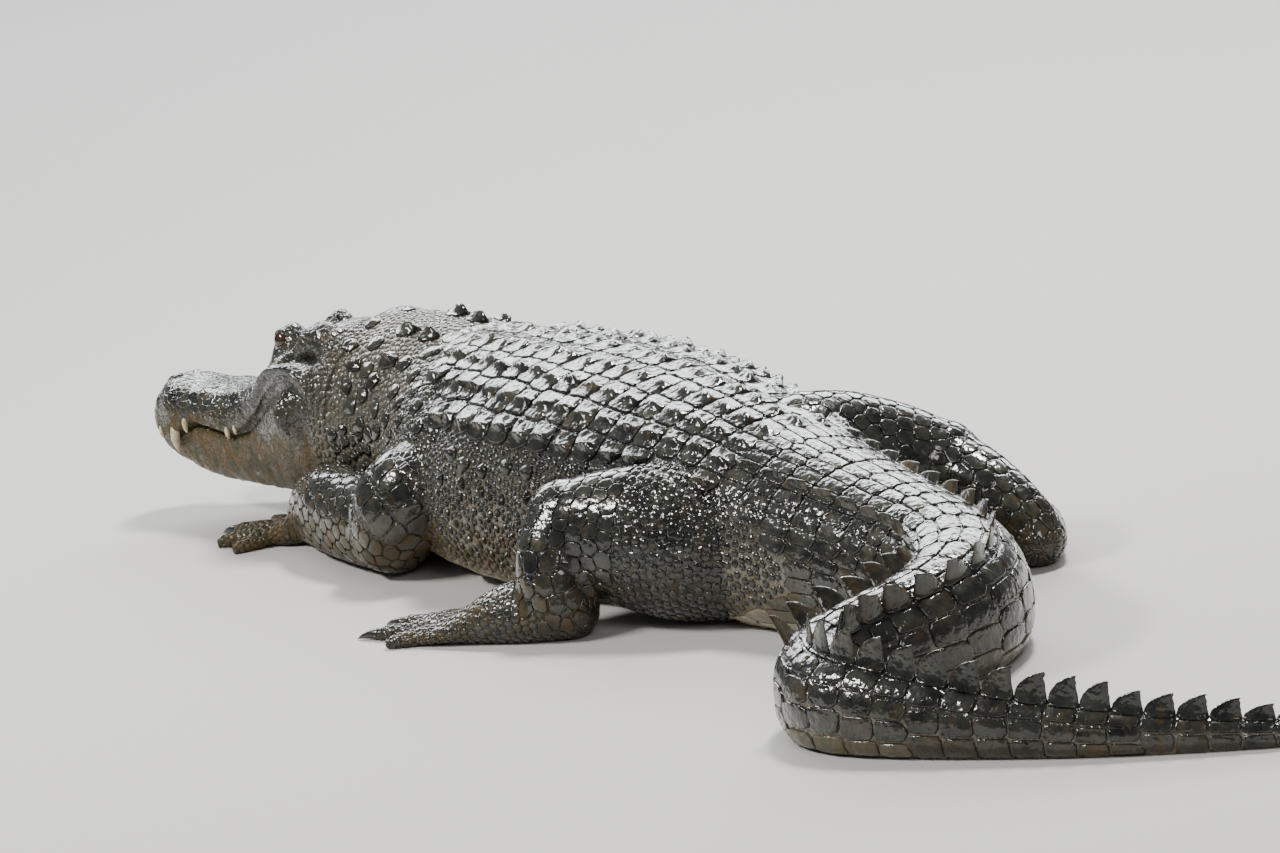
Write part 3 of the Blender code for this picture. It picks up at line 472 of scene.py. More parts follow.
# %% Draw one surface over the limbs
def apply_modifiers(thing):
    graph = bpy.context.evaluated_depsgraph_get()
    mesh = bpy.data.meshes.new_from_object(thing.evaluated_get(graph))
    thing.modifiers.clear()
    old = thing.data
    thing.data = mesh
    mesh.name = old.name
    bpy.data.meshes.remove(old)


def join_meshes(name, things):
    """Put the meshes of several objects into one, and remove the objects."""
    bm = bmesh.new()
    for thing in things:
        bm.from_mesh(thing.data)
        bpy.data.objects.remove(thing, do_unlink=True)
    return as_object(name, bm)


def smooth_all(thing, times, factor=0.5):
    bm = bmesh.new()
    bm.from_mesh(thing.data)
    for _round in range(times):
        bmesh.ops.smooth_vert(bm, verts=bm.verts, factor=factor, use_axis_x=True, use_axis_y=True, use_axis_z=True)
    bm.to_mesh(thing.data)
    bm.free()


def make_limb_skin():
    tubes = [tube_from_rings(name, rings) for name, rings in {**LIMB_RINGS, **FOOT_RINGS}.items()]
    limbs = join_meshes("limb_skin", tubes)
    remesh = limbs.modifiers.new("draw_over", "REMESH")
    remesh.mode = "VOXEL"
    remesh.voxel_size = LIMB_VOXEL
    apply_modifiers(limbs)
    smooth_all(limbs, 4)
    return limbs


limb_skin = make_limb_skin()
print("limb skin faces", len(limb_skin.data.polygons))


# %% Join limbs and body into one skin
def unite(thing, other):
    modifier = thing.modifiers.new("unite", "BOOLEAN")
    modifier.operation = "UNION"
    modifier.solver = "EXACT"
    modifier.object = other
    apply_modifiers(thing)
    bpy.data.objects.remove(other, do_unlink=True)


for skin_part, number in ((body_skin, 0), (limb_skin, 1)):
    marker = skin_part.data.attributes.new("grown_from", "INT", "FACE")
    marker.data.foreach_set("value", [number] * len(skin_part.data.polygons))
unite(body_skin, limb_skin)
skin = body_skin
skin.name = "skin"
print("skin faces", len(skin.data.polygons), "attributes", [a.name for a in skin.data.attributes])


# %% Round the folds where limbs grow out
def soften_joins(thing):
    """Smooth the rings of faces on both sides of every line where limb and body meet."""
    bm = bmesh.new()
    bm.from_mesh(thing.data)
    grown = bm.faces.layers.int["grown_from"]
    near = {vertex for vertex in bm.verts if len({face[grown] for face in vertex.link_faces}) > 1}
    bands = []
    for _ring in range(6):
        near = near | {edge.other_vert(vertex) for vertex in near for edge in vertex.link_edges}
        bands.append(list(near))
    for band, times in ((bands[1], 6), (bands[3], 5), (bands[5], 3)):
        for _round in range(times):
            bmesh.ops.smooth_vert(bm, verts=band, factor=0.5, use_axis_x=True, use_axis_y=True, use_axis_z=True)
    for vertex in bm.verts:
        vertex.co.z = max(vertex.co.z, 0.0005)
    bm.to_mesh(thing.data)
    bm.free()
    return len(near)


print("softened corners", soften_joins(skin))

# %% [markdown]
# An eye lies deep under the brow. The ball is a real sphere in the head, and the skin round it is cut
# finer and shaped by rule: inside an almond opening it dips behind the ball, and outside it hugs the
# ball at the thickness of a lid. Nostrils are pressed into the end of the snout in the same way.


# %% Lids and nostrils
def head_place(back, out, height):
    point, _along, left = spine_frame(np.array([SNOUT_TIP + back]))
    return Vector(point[0] + left[0] * out + np.array([0.0, 0.0, height]))


def head_axes(out):
    """Backward, outward and upward at the eyes, for the left or the right side."""
    _point, along, left = spine_frame(np.array([SNOUT_TIP + EYE_BACK]))
    return Vector(along[0]), Vector(left[0]) * (1 if out > 0 else -1), Vector((0.0, 0.0, 1.0))


EYE_SIDES = {"eye_left": 1, "eye_right": -1}
EYE_CENTRES = {name: head_place(EYE_BACK, side * EYE_OUT, EYE_HEIGHT + side * EYE_OUT * ROOF_LEAN)
               for name, side in EYE_SIDES.items()}
LID_THICKNESS = 0.0016
LID_OPENING = (0.0128, 0.0088)
LID_DIP = 0.0035
NOSTRIL_BACK = 0.040
NOSTRIL_OUT = 0.014
NOSTRIL_HEIGHT = 0.1725
NOSTRIL_SIZE = (0.0075, 0.0042)
NOSTRIL_DEPTH = 0.006
HEAD_LENGTH = HEAD_BACK - SNOUT_TIP
# How many lumps to a metre, and their height.
HEAD_LUMPS = ((45, 0.0014), (100, 0.0009))


def gaze_of(side):
    """The way an eye looks, with the line of its slit and the way up across it."""
    back, outward, upward = head_axes(side)
    gaze = (outward * 0.93 - back * 0.22 + upward * 0.28).normalized()
    slit = (-back - gaze * (-back).dot(gaze)).normalized()
    return gaze, slit, gaze.cross(slit) * (1 if gaze.cross(slit).z > 0 else -1)


def cut_finer(bm, centre, reach, cuts):
    edges = {edge for face in bm.faces if (face.calc_center_median() - centre).length < reach for edge in face.edges}
    bmesh.ops.subdivide_edges(bm, edges=list(edges), cuts=cuts, use_grid_fill=True)
    near = [vertex for vertex in bm.verts if (vertex.co - centre).length < reach]
    for _round in range(2):
        bmesh.ops.smooth_vert(bm, verts=near, factor=0.5, use_axis_x=True, use_axis_y=True, use_axis_z=True)
    return near


def shape_lids(bm, centre, side):
    gaze, slit, upward = gaze_of(side)
    hug = EYE_RADIUS + LID_THICKNESS
    for vertex in cut_finer(bm, centre, 0.026, 3):
        away = vertex.co - centre
        depth, wide, high = away.dot(gaze), away.dot(slit), away.dot(upward)
        if depth < 0 and away.length > hug:
            continue
        opening = math.hypot(wide / LID_OPENING[0], high / LID_OPENING[1])
        flat = math.hypot(wide, high)
        if flat < hug:
            inside = math.sqrt(max(EYE_RADIUS ** 2 - flat * flat, 0.0)) - LID_DIP
            outside = max(depth, math.sqrt(hug * hug - flat * flat))
            lid = min(max((opening - 0.82) / 0.30, 0.0), 1.0)
            lid = lid * lid * (3 - 2 * lid)
            vertex.co += gaze * (inside + (outside - inside) * lid - depth)


def press_nostril(bm, centre):
    back, outward, upward = head_axes(centre.y)
    for vertex in cut_finer(bm, centre, 0.014, 2):
        away = vertex.co - centre
        far = math.hypot(away.dot(back) / NOSTRIL_SIZE[0], away.dot(outward) / NOSTRIL_SIZE[1])
        vertex.co -= upward * NOSTRIL_DEPTH * math.exp(-far ** 4)
        vertex.co += upward * 0.002 * math.exp(-((far - 1.5) / 0.5) ** 2)


def roughen_head(bm):
    """Small lumps and pits all over the head, which is bare of scales, but not at the eyes."""
    tip, back, _left = (Vector(row[0]) for row in spine_frame(np.array([SNOUT_TIP])))
    bm.normal_update()
    for vertex in bm.verts:
        behind = (vertex.co - tip).dot(back)
        if behind > HEAD_LENGTH + 0.05:
            continue
        fade = min(max((HEAD_LENGTH + 0.05 - behind) / 0.06, 0.0), 1.0)
        near = min((vertex.co - centre).length for centre in EYE_CENTRES.values())
        fade *= min(max((near - 0.015) / 0.008, 0.0), 1.0)
        rise = sum(height * noise.noise(vertex.co * scale) for scale, height in HEAD_LUMPS)
        vertex.co += vertex.normal * rise * fade


def shape_head_details(thing):
    bm = bmesh.new()
    bm.from_mesh(thing.data)
    roughen_head(bm)
    for name, side in EYE_SIDES.items():
        shape_lids(bm, EYE_CENTRES[name], side)
    for side in (1, -1):
        press_nostril(bm, head_place(NOSTRIL_BACK, side * NOSTRIL_OUT, NOSTRIL_HEIGHT))
    bmesh.ops.recalc_face_normals(bm, faces=bm.faces)
    bm.to_mesh(thing.data)
    bm.free()
    thing.data.shade_smooth()


shape_head_details(skin)
print("skin triangles", sum(len(face.vertices) - 2 for face in skin.data.polygons))

# %% [markdown]
# An eye is a ball with a gold-brown iris, kept dark by painted shade, and an upright slit. The iris
# isn't a picture: each corner of the ball keeps its place across the iris as an attribute, and the
# material draws rings from that.


# %% Eyes
IRIS_PLACE = "iris_place"
EYE_SEGMENTS = 56
EYE_RINGS = 36


def make_eye(name, side):
    gaze, slit, upward = gaze_of(side)
    turn = Matrix((slit, upward, gaze)).transposed().to_4x4()
    bm = bmesh.new()
    bmesh.ops.create_uvsphere(bm, u_segments=EYE_SEGMENTS, v_segments=EYE_RINGS, radius=EYE_RADIUS)
    places = [tuple(vertex.co / EYE_RADIUS) for vertex in bm.verts]
    bmesh.ops.transform(bm, matrix=Matrix.Translation(EYE_CENTRES[name]) @ turn, verts=bm.verts)
    bmesh.ops.recalc_face_normals(bm, faces=bm.faces)
    eye = as_object(f"{name}_ball", bm)
    layer = eye.data.attributes.new(IRIS_PLACE, "FLOAT_VECTOR", "POINT")
    layer.data.foreach_set("vector", [number for place in places for number in place])
    return eye


eyes = {name: make_eye(name, side) for name, side in EYE_SIDES.items()}
print("eyes", [tuple(round(number, 3) for number in EYE_CENTRES[name]) for name in eyes])

# %% [markdown]
# With the mouth shut, an alligator shows only upper teeth, which hang over the lower jaw. Each is a
# cone of ivory, a little curved inward and blunt at its point. Claws are narrow cones of dark horn that
# curve down from the three inner digits of each foot; the outer digits have none.

# %% Teeth and claws
# Distance behind the snout tip, how far out of the mouth line and how thick each upper tooth is.
TEETH = ((0.030, 0.008, 0.0042), (0.060, 0.021, 0.0068), (0.082, 0.010, 0.0045), (0.168, 0.008, 0.0044),
         (0.186, 0.005, 0.0036))
TOOTH_ROOT = 0.007
TOOTH_STAGES = ((0.0, 0.95), (0.25, 1.0), (0.5, 0.9), (0.7, 0.68), (0.86, 0.42), (0.96, 0.2), (1.0, 0.07))
CLAW_STAGES = ((-0.25, 0.50, 0.48), (0.0, 0.52, 0.50), (0.2, 0.52, 0.44), (0.42, 0.47, 0.36), (0.64, 0.38, 0.26),
               (0.84, 0.25, 0.15), (1.0, 0.12, 0.04))


def cone_along(points, sizes, columns=16):
    """A closed tapered tube through a few points."""
    middles = np.array(points, dtype=float)
    along = np.gradient(middles, axis=0)
    along /= np.linalg.norm(along, axis=1)[:, None]
    aside = np.cross(along, (0.31, 0.95, 0.1))
    aside /= np.linalg.norm(aside, axis=1)[:, None]
    upward = np.cross(aside, along)
    turn = 2 * np.pi * np.arange(columns) / columns
    ring = aside[:, None] * np.cos(turn)[None, :, None] + upward[:, None] * np.sin(turn)[None, :, None]
    positions = middles[:, None] + ring * np.array(sizes)[:, None, None]
    return rolled_grid(len(points) - 1, columns, positions)


def make_teeth():
    things = []
    for side in (1, -1):
        for number, (back, out, radius) in enumerate(TEETH):
            half, _top, lip, _jaw, _under = sample(HEAD_SECTIONS, np.array([back]), HEAD_BLEND)[0]
            root = np.array(head_place(back, side * (half - radius), lip + TOOTH_ROOT))
            point = np.array(head_place(back + 0.1 * out, side * (half - radius * 0.6), lip - out))
            bow = np.array(head_axes(side)[1]) * radius * 0.35
            points = [root + (point - root) * part + bow * math.sin(math.pi * part) for part, _size in TOOTH_STAGES]
            bm = cone_along(points, [radius * 0.86 * size for _part, size in TOOTH_STAGES])
            things.append(as_object(f"tooth_{side}_{number}", bm))
    return join_meshes("teeth", things)


def make_claws():
    things = []
    for foot, digits in FOOT_DIGITS.items():
        for number, (base, direction, reach, clawed) in enumerate(digits):
            if not clawed:
                continue
            points = [base + direction * (reach + CLAW_LENGTH * part) + np.array([0, 0, DIGIT_THICKNESS * height])
                      for part, height, _size in CLAW_STAGES]
            sizes = [DIGIT_THICKNESS * size * 1.05 for _part, _height, size in CLAW_STAGES]
            things.append(as_object(f"claw_{foot}_{number}", cone_along(points, sizes)))
    return join_meshes("claws", things)


teeth = make_teeth()
claws = make_claws()
print("teeth faces", len(teeth.data.polygons), "claw faces", len(claws.data.polygons))

# %% [markdown]
# The hide is nearly black on the back, olive-brown low on the flanks and jaws, and cream under the
# belly. These markings are worked out by rule for any point and kept as an attribute, so the skin and
# the scales on it always agree. Noise in the material then breaks them up.

# %% Markings
MIX = "hide_mix"
HEIGHT_OF_BROWN = (0.04, 0.56)
HEIGHT_OF_PALE = (0.02, 0.20)
HEAD_BROWN = (0.100, 0.155)
LIMB_BROWN = (0.03, 0.105)
ARMS_END = -0.40
NECK_PALE = 0.14


def nearest_places(points):
    """The place along the spine and the distance from it, for many points."""
    places = np.zeros(len(points))
    aside = np.zeros(len(points))
    for start in range(0, len(points), 20000):
        block = points[start:start + 20000, :2]
        gap = ((block[:, None, :] - SPINE_POINTS[None, :, :]) ** 2).sum(axis=2)
        nearest = gap.argmin(axis=1)
        places[start:start + 20000] = SPINE_PLACES[nearest]
        aside[start:start + 20000] = np.sqrt(gap[np.arange(len(block)), nearest])
    return places, aside


def smooth_step(values, low, high):
    part = np.clip((values - low) / (high - low), 0, 1)
    return part * part * (3 - 2 * part)


def markings(points, on_limb):
    """How brown and how pale the hide is at each point, from 0 to 1."""
    places, aside = nearest_places(points)
    half, top, bottom = sample(BODY_SECTIONS, places, SECTION_BLEND).T
    part = (points[:, 2] - bottom) / (top - bottom)
    brown = 1 - smooth_step(part, *HEIGHT_OF_BROWN)
    pale = 1 - smooth_step(part, *HEIGHT_OF_PALE)
    back = places - SNOUT_TIP
    head = smooth_step(back, 0.48, 0.36)
    brown = brown + (0.92 - 0.80 * smooth_step(points[:, 2], *HEAD_BROWN) - brown) * head
    pale = pale * (1 - 0.8 * head)
    neck = smooth_step(back, 0.34, 0.42) * smooth_step(back, 0.66, 0.52)
    pale = np.maximum(pale, NECK_PALE * neck)
    pale = np.where(places > 0.2, pale * 0.3, pale)
    brown = np.where(places > 0.15, brown * 0.45, brown)
    high = smooth_step(points[:, 2], *LIMB_BROWN)
    brown = np.where(on_limb, np.where(points[:, 0] < ARMS_END, 0.95 - 0.85 * high, 0.50 - 0.40 * high), brown)
    pale = np.where(on_limb, 0.0, pale)
    return brown, pale


def points_of(mesh):
    flat = np.zeros(len(mesh.vertices) * 3, np.float32)
    mesh.vertices.foreach_get("co", flat)
    return flat.reshape(-1, 3).astype(float)


def limb_corners(mesh):
    """Which corners of the skin lie on limbs."""
    on_limb = np.zeros(len(mesh.vertices), bool)
    grown = np.zeros(len(mesh.polygons), np.int32)
    mesh.attributes["grown_from"].data.foreach_get("value", grown)
    corners = np.zeros(len(mesh.loops), np.int32)
    mesh.loops.foreach_get("vertex_index", corners)
    sizes = np.zeros(len(mesh.polygons), np.int32)
    mesh.polygons.foreach_get("loop_total", sizes)
    on_limb[corners[np.repeat(grown, sizes) == 1]] = True
    return on_limb


def write_mix(mesh, brown, pale, lift):
    layer = mesh.attributes.new(MIX, "FLOAT_VECTOR", "POINT")
    layer.data.foreach_set("vector", np.stack([brown, pale, lift], axis=1).astype(np.float32).ravel())


def mark_skin(mesh):
    points = points_of(mesh)
    on_limb = limb_corners(mesh)
    brown, pale = markings(points, on_limb)
    places, _aside = nearest_places(points)
    half, top, bottom = sample(BODY_SECTIONS, places, SECTION_BLEND).T
    low = 1 - smooth_step((points[:, 2] - bottom) / (top - bottom), 0.45, 0.85)
    head = places < HEAD_BACK - 0.02
    # Painted shade on the skin between scales: darkest on the back, less on the limbs, none on the head, fading out low
    # on the body.
    painted_groove_shade = np.where(head, 0.75, np.where(on_limb, 0.35, 0.25 + 0.55 * low))
    pale = np.where(head | on_limb, pale, np.maximum(pale, 0.22 * low))
    write_mix(mesh, brown, pale, painted_groove_shade)
    return brown, pale


skin_brown, skin_pale = mark_skin(skin.data)
print("brown share", round(float(skin_brown.mean()), 3), "pale share", round(float(skin_pale.mean()), 3))


# %% Hide materials
class Finish:
    """A material with its nodes; each call adds a node and wires what it's given."""

    def __init__(self, name):
        self.material = bpy.data.materials.new(name)
        self.material.use_nodes = True
        self.nodes = self.material.node_tree.nodes
        self.links = self.material.node_tree.links
        self.shader = self.nodes["Principled BSDF"]
        self.place = self.nodes.new("ShaderNodeTexCoord").outputs["Object"]

    def put(self, socket, value):
        if isinstance(value, bpy.types.NodeSocket):
            self.links.new(value, socket)
        else:
            socket.default_value = value

    def noise(self, scale, detail=3.0, rough=0.55, twist=0.0):
        node = self.nodes.new("ShaderNodeTexNoise")
        self.put(node.inputs["Vector"], self.place)
        self.put(node.inputs["Scale"], scale)
        self.put(node.inputs["Detail"], detail)
        self.put(node.inputs["Roughness"], rough)
        self.put(node.inputs["Distortion"], twist)
        return node.outputs["Fac"]

    def cells(self, scale, feature="DISTANCE_TO_EDGE"):
        node = self.nodes.new("ShaderNodeTexVoronoi")
        node.feature = feature
        self.put(node.inputs["Vector"], self.place)
        self.put(node.inputs["Scale"], scale)
        return node.outputs["Distance"]

    def math(self, what, first, second=0.0):
        node = self.nodes.new("ShaderNodeMath")
        node.operation = what
        self.put(node.inputs[0], first)
        self.put(node.inputs[1], second)
        return node.outputs[0]

    def band(self, value, low, high, to_low=0.0, to_high=1.0):
        node = self.nodes.new("ShaderNodeMapRange")
        for name, part in (("Value", value), ("From Min", low), ("From Max", high), ("To Min", to_low),
                           ("To Max", to_high)):
            self.put(node.inputs[name], part)
        return node.outputs["Result"]

    def mix(self, share, first, second):
        node = self.nodes.new("ShaderNodeMix")
        node.data_type = "RGBA"
        self.put(node.inputs["Factor"], share)
        self.put(node.inputs["A"], first)
        self.put(node.inputs["B"], second)
        return node.outputs["Result"]

    def attribute(self, name):
        node = self.nodes.new("ShaderNodeAttribute")
        node.attribute_name = name
        parts = self.nodes.new("ShaderNodeSeparateXYZ")
        self.links.new(node.outputs["Vector"], parts.inputs[0])
        return parts.outputs[0], parts.outputs[1], parts.outputs[2]

    def bump(self, height, strength, distance):
        node = self.nodes.new("ShaderNodeBump")
        self.put(node.inputs["Height"], height)
        self.put(node.inputs["Strength"], strength)
        self.put(node.inputs["Distance"], distance)
        self.links.new(node.outputs["Normal"], self.shader.inputs["Normal"])
        self.links.new(node.outputs["Normal"], self.shader.inputs["Coat Normal"])

    def set(self, **values):
        for name, value in values.items():
            self.put(self.shader.inputs[name.replace("_", " ")], value)


NEAR_BLACK = (0.0045, 0.0045, 0.0045, 1.0)
SLATE = (0.030, 0.032, 0.026, 1.0)
BARK_BROWN = (0.088, 0.055, 0.022, 1.0)
OLIVE = (0.042, 0.040, 0.018, 1.0)
CREAM = (0.42, 0.37, 0.27, 1.0)


def hide_finish(name, gloss, grain_depth, wrinkles=False):
    """Wet hide: dark with slate and brown mottling, with painted shade toward the rims and feet of scales and between
    them.
    """
    finish = Finish(name)
    brown, pale, lift = finish.attribute(MIX)
    dark = finish.mix(finish.band(finish.noise(38.0), 0.35, 0.70), NEAR_BLACK, SLATE)
    earthy = finish.mix(finish.band(finish.noise(55.0, 4.0), 0.38, 0.62), OLIVE, BARK_BROWN)
    patchy = finish.band(finish.noise(70.0, 4.0, 0.6), 0.30, 0.70, -0.40, 0.40)
    share = finish.band(finish.math("ADD", brown, patchy), 0.05, 0.95)
    colour = finish.mix(share, dark, earthy)
    colour = finish.mix(pale, colour, CREAM)
    # Painted shade: the attribute's third value darkens the rims and feet of scales and the skin between them toward
    # near black.
    shade = finish.band(lift, 0.0, 0.7, 0.35, 1.0)
    colour = finish.mix(shade, NEAR_BLACK, colour)
    finish.set(Base_Color=colour, IOR=1.45, Coat_Roughness=0.07, Specular_IOR_Level=0.14)
    finish.set(Coat_Weight=finish.band(share, 0.30, 0.95, 1.0, 0.25))
    rough = finish.band(finish.noise(90.0, 3.0), 0.3, 0.7, gloss - 0.10, gloss + 0.16)
    finish.set(Roughness=finish.math("ADD", rough, finish.math("MULTIPLY", share, 0.30)))
    grain = finish.math("ADD", finish.noise(135.0, 1.5, 0.5), finish.math("MULTIPLY", finish.noise(420.0, 1.0), 0.16))
    if wrinkles:
        cracks = finish.band(finish.cells(120.0), 0.0, 0.10, -0.35, 0.0)
        grain = finish.math("ADD", grain, cracks)
    finish.bump(grain, 0.60, grain_depth)
    return finish.material


def eye_finish():
    finish = Finish("eye_amber")
    wide, high, deep = finish.attribute(IRIS_PLACE)
    flat = finish.math("SQRT", finish.math("ADD", finish.math("MULTIPLY", wide, wide),
                                           finish.math("MULTIPLY", high, high)))
    slit = finish.math("ADD", finish.math("ABSOLUTE", wide), finish.math("MULTIPLY",
                       finish.math("MULTIPLY", high, high), 0.30))
    # Painted shade: the iris's gold-brown is kept dark, as the eye lies in shade under its brow.
    gold = finish.mix(finish.band(finish.noise(900.0, 4.0), 0.35, 0.65), (0.022, 0.010, 0.004, 1), (0.055, 0.026, 0.009, 1))
    iris = finish.mix(finish.band(flat, 0.45, 0.80), gold, (0.03, 0.015, 0.006, 1))
    colour = finish.mix(finish.band(slit, 0.10, 0.14), (0.001, 0.001, 0.001, 1), iris)
    finish.set(Base_Color=colour, Roughness=0.05, IOR=1.38, Coat_Weight=1.0, Coat_Roughness=0.02)
    return finish.material


def horn_finish(name, pale, dark, scale, rough):
    finish = Finish(name)
    colour = finish.mix(finish.band(finish.noise(scale, 4.0, 0.6, 0.4), 0.35, 0.68), pale, dark)
    finish.set(Base_Color=colour, Roughness=rough, IOR=1.5, Coat_Weight=0.3, Coat_Roughness=0.1)
    finish.bump(finish.noise(scale * 6, 2.0), 0.2, 0.0003)
    return finish.material


skin.data.materials.append(hide_finish("wet_skin", 0.28, 0.0030, wrinkles=True))
wet_hide = hide_finish("wet_scales", 0.24, 0.0025)
smooth_hide = hide_finish("smooth_scales", 0.20, 0.0013)
amber = eye_finish()
for eye in eyes.values():
    eye.data.materials.append(amber)
teeth.data.materials.append(horn_finish("ivory", (0.66, 0.58, 0.42, 1), (0.36, 0.27, 0.15, 1), 120.0, 0.22))
claws.data.materials.append(horn_finish("claw_horn", (0.030, 0.026, 0.022, 1), (0.006, 0.006, 0.006, 1), 90.0, 0.25))
print("materials", [material.name for material in bpy.data.materials])

# %% [markdown]
# Scales could be drawn as bump, but then they would vanish from the shape. Here each one is a small
# solid. All of them share one plan: a list of roots on the skin, each with a size and a kind. A scale
# grows from its root until it meets its neighbours, half way for equal sizes, which is how a real hide
# packs, so plates in rows come out square, and scales in staggered rows come out six-sided.

# %% Find places on the skin
bpy.context.view_layer.update()
SKIN_TREE = BVHTree.FromObject(skin, bpy.context.evaluated_depsgraph_get())
ROOT_REACH = 0.006
BAKE_PATCH = 0.0015
SNOUT_TO_TAIL = TAIL_TIP - SNOUT_TIP
# Lowest and highest V that the body and the limbs take on the unwrap of the skin.
BODY_STRIP = (0.02, 0.66)
LIMB_STRIP = (0.70, 0.98)


def smooth_normals(mesh):
    """The skin's smoothed direction at the middle of each face, and which faces lie on limbs."""
    normals = np.zeros(len(mesh.vertices) * 3, np.float32)
    mesh.vertices.foreach_get("normal", normals)
    normals = normals.reshape(-1, 3)
    corners = np.zeros(len(mesh.loops), np.int32)
    mesh.loops.foreach_get("vertex_index", corners)
    starts = np.zeros(len(mesh.polygons), np.int32)
    mesh.polygons.foreach_get("loop_start", starts)
    total = np.add.reduceat(normals[corners], starts, axis=0)
    grown = np.zeros(len(mesh.polygons), np.int32)
    mesh.attributes["grown_from"].data.foreach_get("value", grown)
    return total / np.linalg.norm(total, axis=1)[:, None], grown


FACE_NORMALS, FACE_GROWN = smooth_normals(skin.data)


def on_skin(points):
    """The nearest point of the skin for each point, its face, and how far away it is."""
    near = np.zeros((len(points), 3))
    faces = np.zeros(len(points), int)
    gaps = np.zeros(len(points))
    for k, point in enumerate(points.tolist()):
        spot, _normal, face, gap = SKIN_TREE.find_nearest(point)
        near[k] = spot
        faces[k] = face
        gaps[k] = gap
    return near, faces, gaps


def unit(rows):
    return rows / np.maximum(np.linalg.norm(rows, axis=1), 1e-9)[:, None]


# %% Plan the roots of the scales
SCALE_KINDS = {
    # How tall, how flat on top, how far past its size it may spread, groove round it, keel, crinkle,
    # and how much browner than the hide under it.
    "bead": (0.0024, 0.40, 1.20, 0.0005, 0.0, 0.07, 0.0),
    "pebble": (0.0016, 0.45, 1.20, 0.0005, 0.0, 0.07, 0.0),
    "dome": (0.0062, 0.30, 1.05, 0.0006, 0.0030, 0.06, -0.05),
    "dot": (0.0022, 0.50, 0.92, 0.0004, 0.0, 0.05, -0.55),
    "slab": (0.0019, 0.86, 1.70, 0.0005, 0.0, 0.05, -0.15),
    "pad": (0.0011, 0.70, 1.30, 0.0004, 0.0, 0.04, -0.15),
    "tile": (0.0024, 0.88, 1.70, 0.0006, 0.0006, 0.10, 0.0),
    "belly": (0.0018, 0.85, 1.50, 0.0006, 0.0, 0.02, 0.0),
    "plate": (0.0040, 0.70, 1.60, 0.0006, 0.0092, 0.15, 0.0),
    "nape": (0.0060, 0.42, 1.14, 0.0008, 0.0085, 0.09, -0.90),
    "scute": (0.0046, 0.58, 1.40, 0.0008, 0.0004, 0.05, -0.90),
    "vane_foot": (0.0030, 0.75, 1.50, 0.0006, 0.0, 0.04, 0.0),
}
ROOTS = []
# Roots whose skin faces further apart than this lie on other sides of a thin limb or tail.
SAME_SIDE = 0.25


def plan(piece, kind, centres, along, reach, breadth, uv, limb=0, tall=1.0, closest=0.86):
    """Add roots that lie near the skin of the body or of a limb, and far enough from earlier ones."""
    near, faces, gaps = on_skin(centres)
    kept = (gaps < ROOT_REACH) & (FACE_GROWN[faces] == limb)
    normal = FACE_NORMALS[faces]
    along = unit(along - normal * (along * normal).sum(axis=1)[:, None])
    reach = np.broadcast_to(np.asarray(reach, float), len(centres)).copy()
    breadth = np.broadcast_to(np.asarray(breadth, float), len(centres)).copy()
    tall = np.broadcast_to(np.asarray(tall, float), len(centres)).copy()
    if ROOTS:
        tree = root_tree()
        sizes = np.concatenate([row["size"] for row in ROOTS])
        normals = np.concatenate([row["normal"] for row in ROOTS])
        for k in np.flatnonzero(kept):
            size = math.sqrt(reach[k] * breadth[k])
            for _spot, other, gap in tree.find_n(near[k], 3):
                if gap < closest * (size + sizes[other]) and normals[other] @ normal[k] > SAME_SIDE:
                    kept[k] = False
    ROOTS.append({
        "piece": np.array([piece] * len(centres))[kept], "kind": np.array([kind] * len(centres))[kept],
        "centre": near[kept], "along": along[kept], "normal": normal[kept], "reach": reach[kept],
        "breadth": breadth[kept], "uv": uv[kept], "tall": tall[kept],
        "size": np.sqrt(reach * breadth)[kept], "limb": np.full(int(kept.sum()), limb),
    })
    return int(kept.sum())


def root_tree():
    centres = np.concatenate([row["centre"] for row in ROOTS])
    tree = KDTree(len(centres))
    for k, centre in enumerate(centres):
        tree.insert(centre, k)
    tree.balance()
    return tree


def plan_body(piece, kind, places, degrees, reach, breadth, tall=1.0, closest=0.86):
    """Roots on the body, at places along it and angles round it."""
    places = np.asarray(places, float)
    degrees = np.asarray(degrees, float)
    if not len(places):
        return 0
    centres = body_surface(places, degrees, -COAT_DEPTH)
    along = body_surface(places + 0.004, degrees, -COAT_DEPTH) - body_surface(places - 0.004, degrees, -COAT_DEPTH)
    across = (places - SNOUT_TIP) / SNOUT_TO_TAIL
    round_body = BODY_STRIP[0] + (BODY_STRIP[1] - BODY_STRIP[0]) * ((degrees + 90.0) % 360.0) / 360.0
    uv = np.stack([across, round_body], axis=1)
    return plan(piece, kind, centres, along, reach, breadth, uv, 0, tall, closest)


def arc(place, low, high):
    """The length of the skin round the body between two angles."""
    degrees = np.linspace(low, high, 24)
    points = body_surface(np.full(24, place), degrees)
    return float(np.linalg.norm(np.diff(points, axis=0), axis=1).sum())


def angles_between(place, low, high, count):
    """Angles that part the skin between two angles into equal lengths: their middles and half a length."""
    degrees = np.linspace(low, high, 60)
    points = body_surface(np.full(60, place), degrees)
    gone = np.concatenate([[0.0], np.cumsum(np.linalg.norm(np.diff(points, axis=0), axis=1))])
    middles = (np.arange(count) + 0.5) / count * gone[-1]
    return np.interp(middles, gone, degrees), gone[-1] / count / 2


# %% Plates of the back and the nape
PLATE_ROW = 0.0382
PLATE_EDGES = (30, 46, 61, 75, 90, 105, 119, 134, 150)
NECK_BACK = -0.65
# The plates begin behind the shoulder's crease: how far off the middle, and the place there.
PLATES_BEGIN = ((0, -0.69), (24, -0.655), (38, -0.585), (56, -0.505), (76, -0.470))
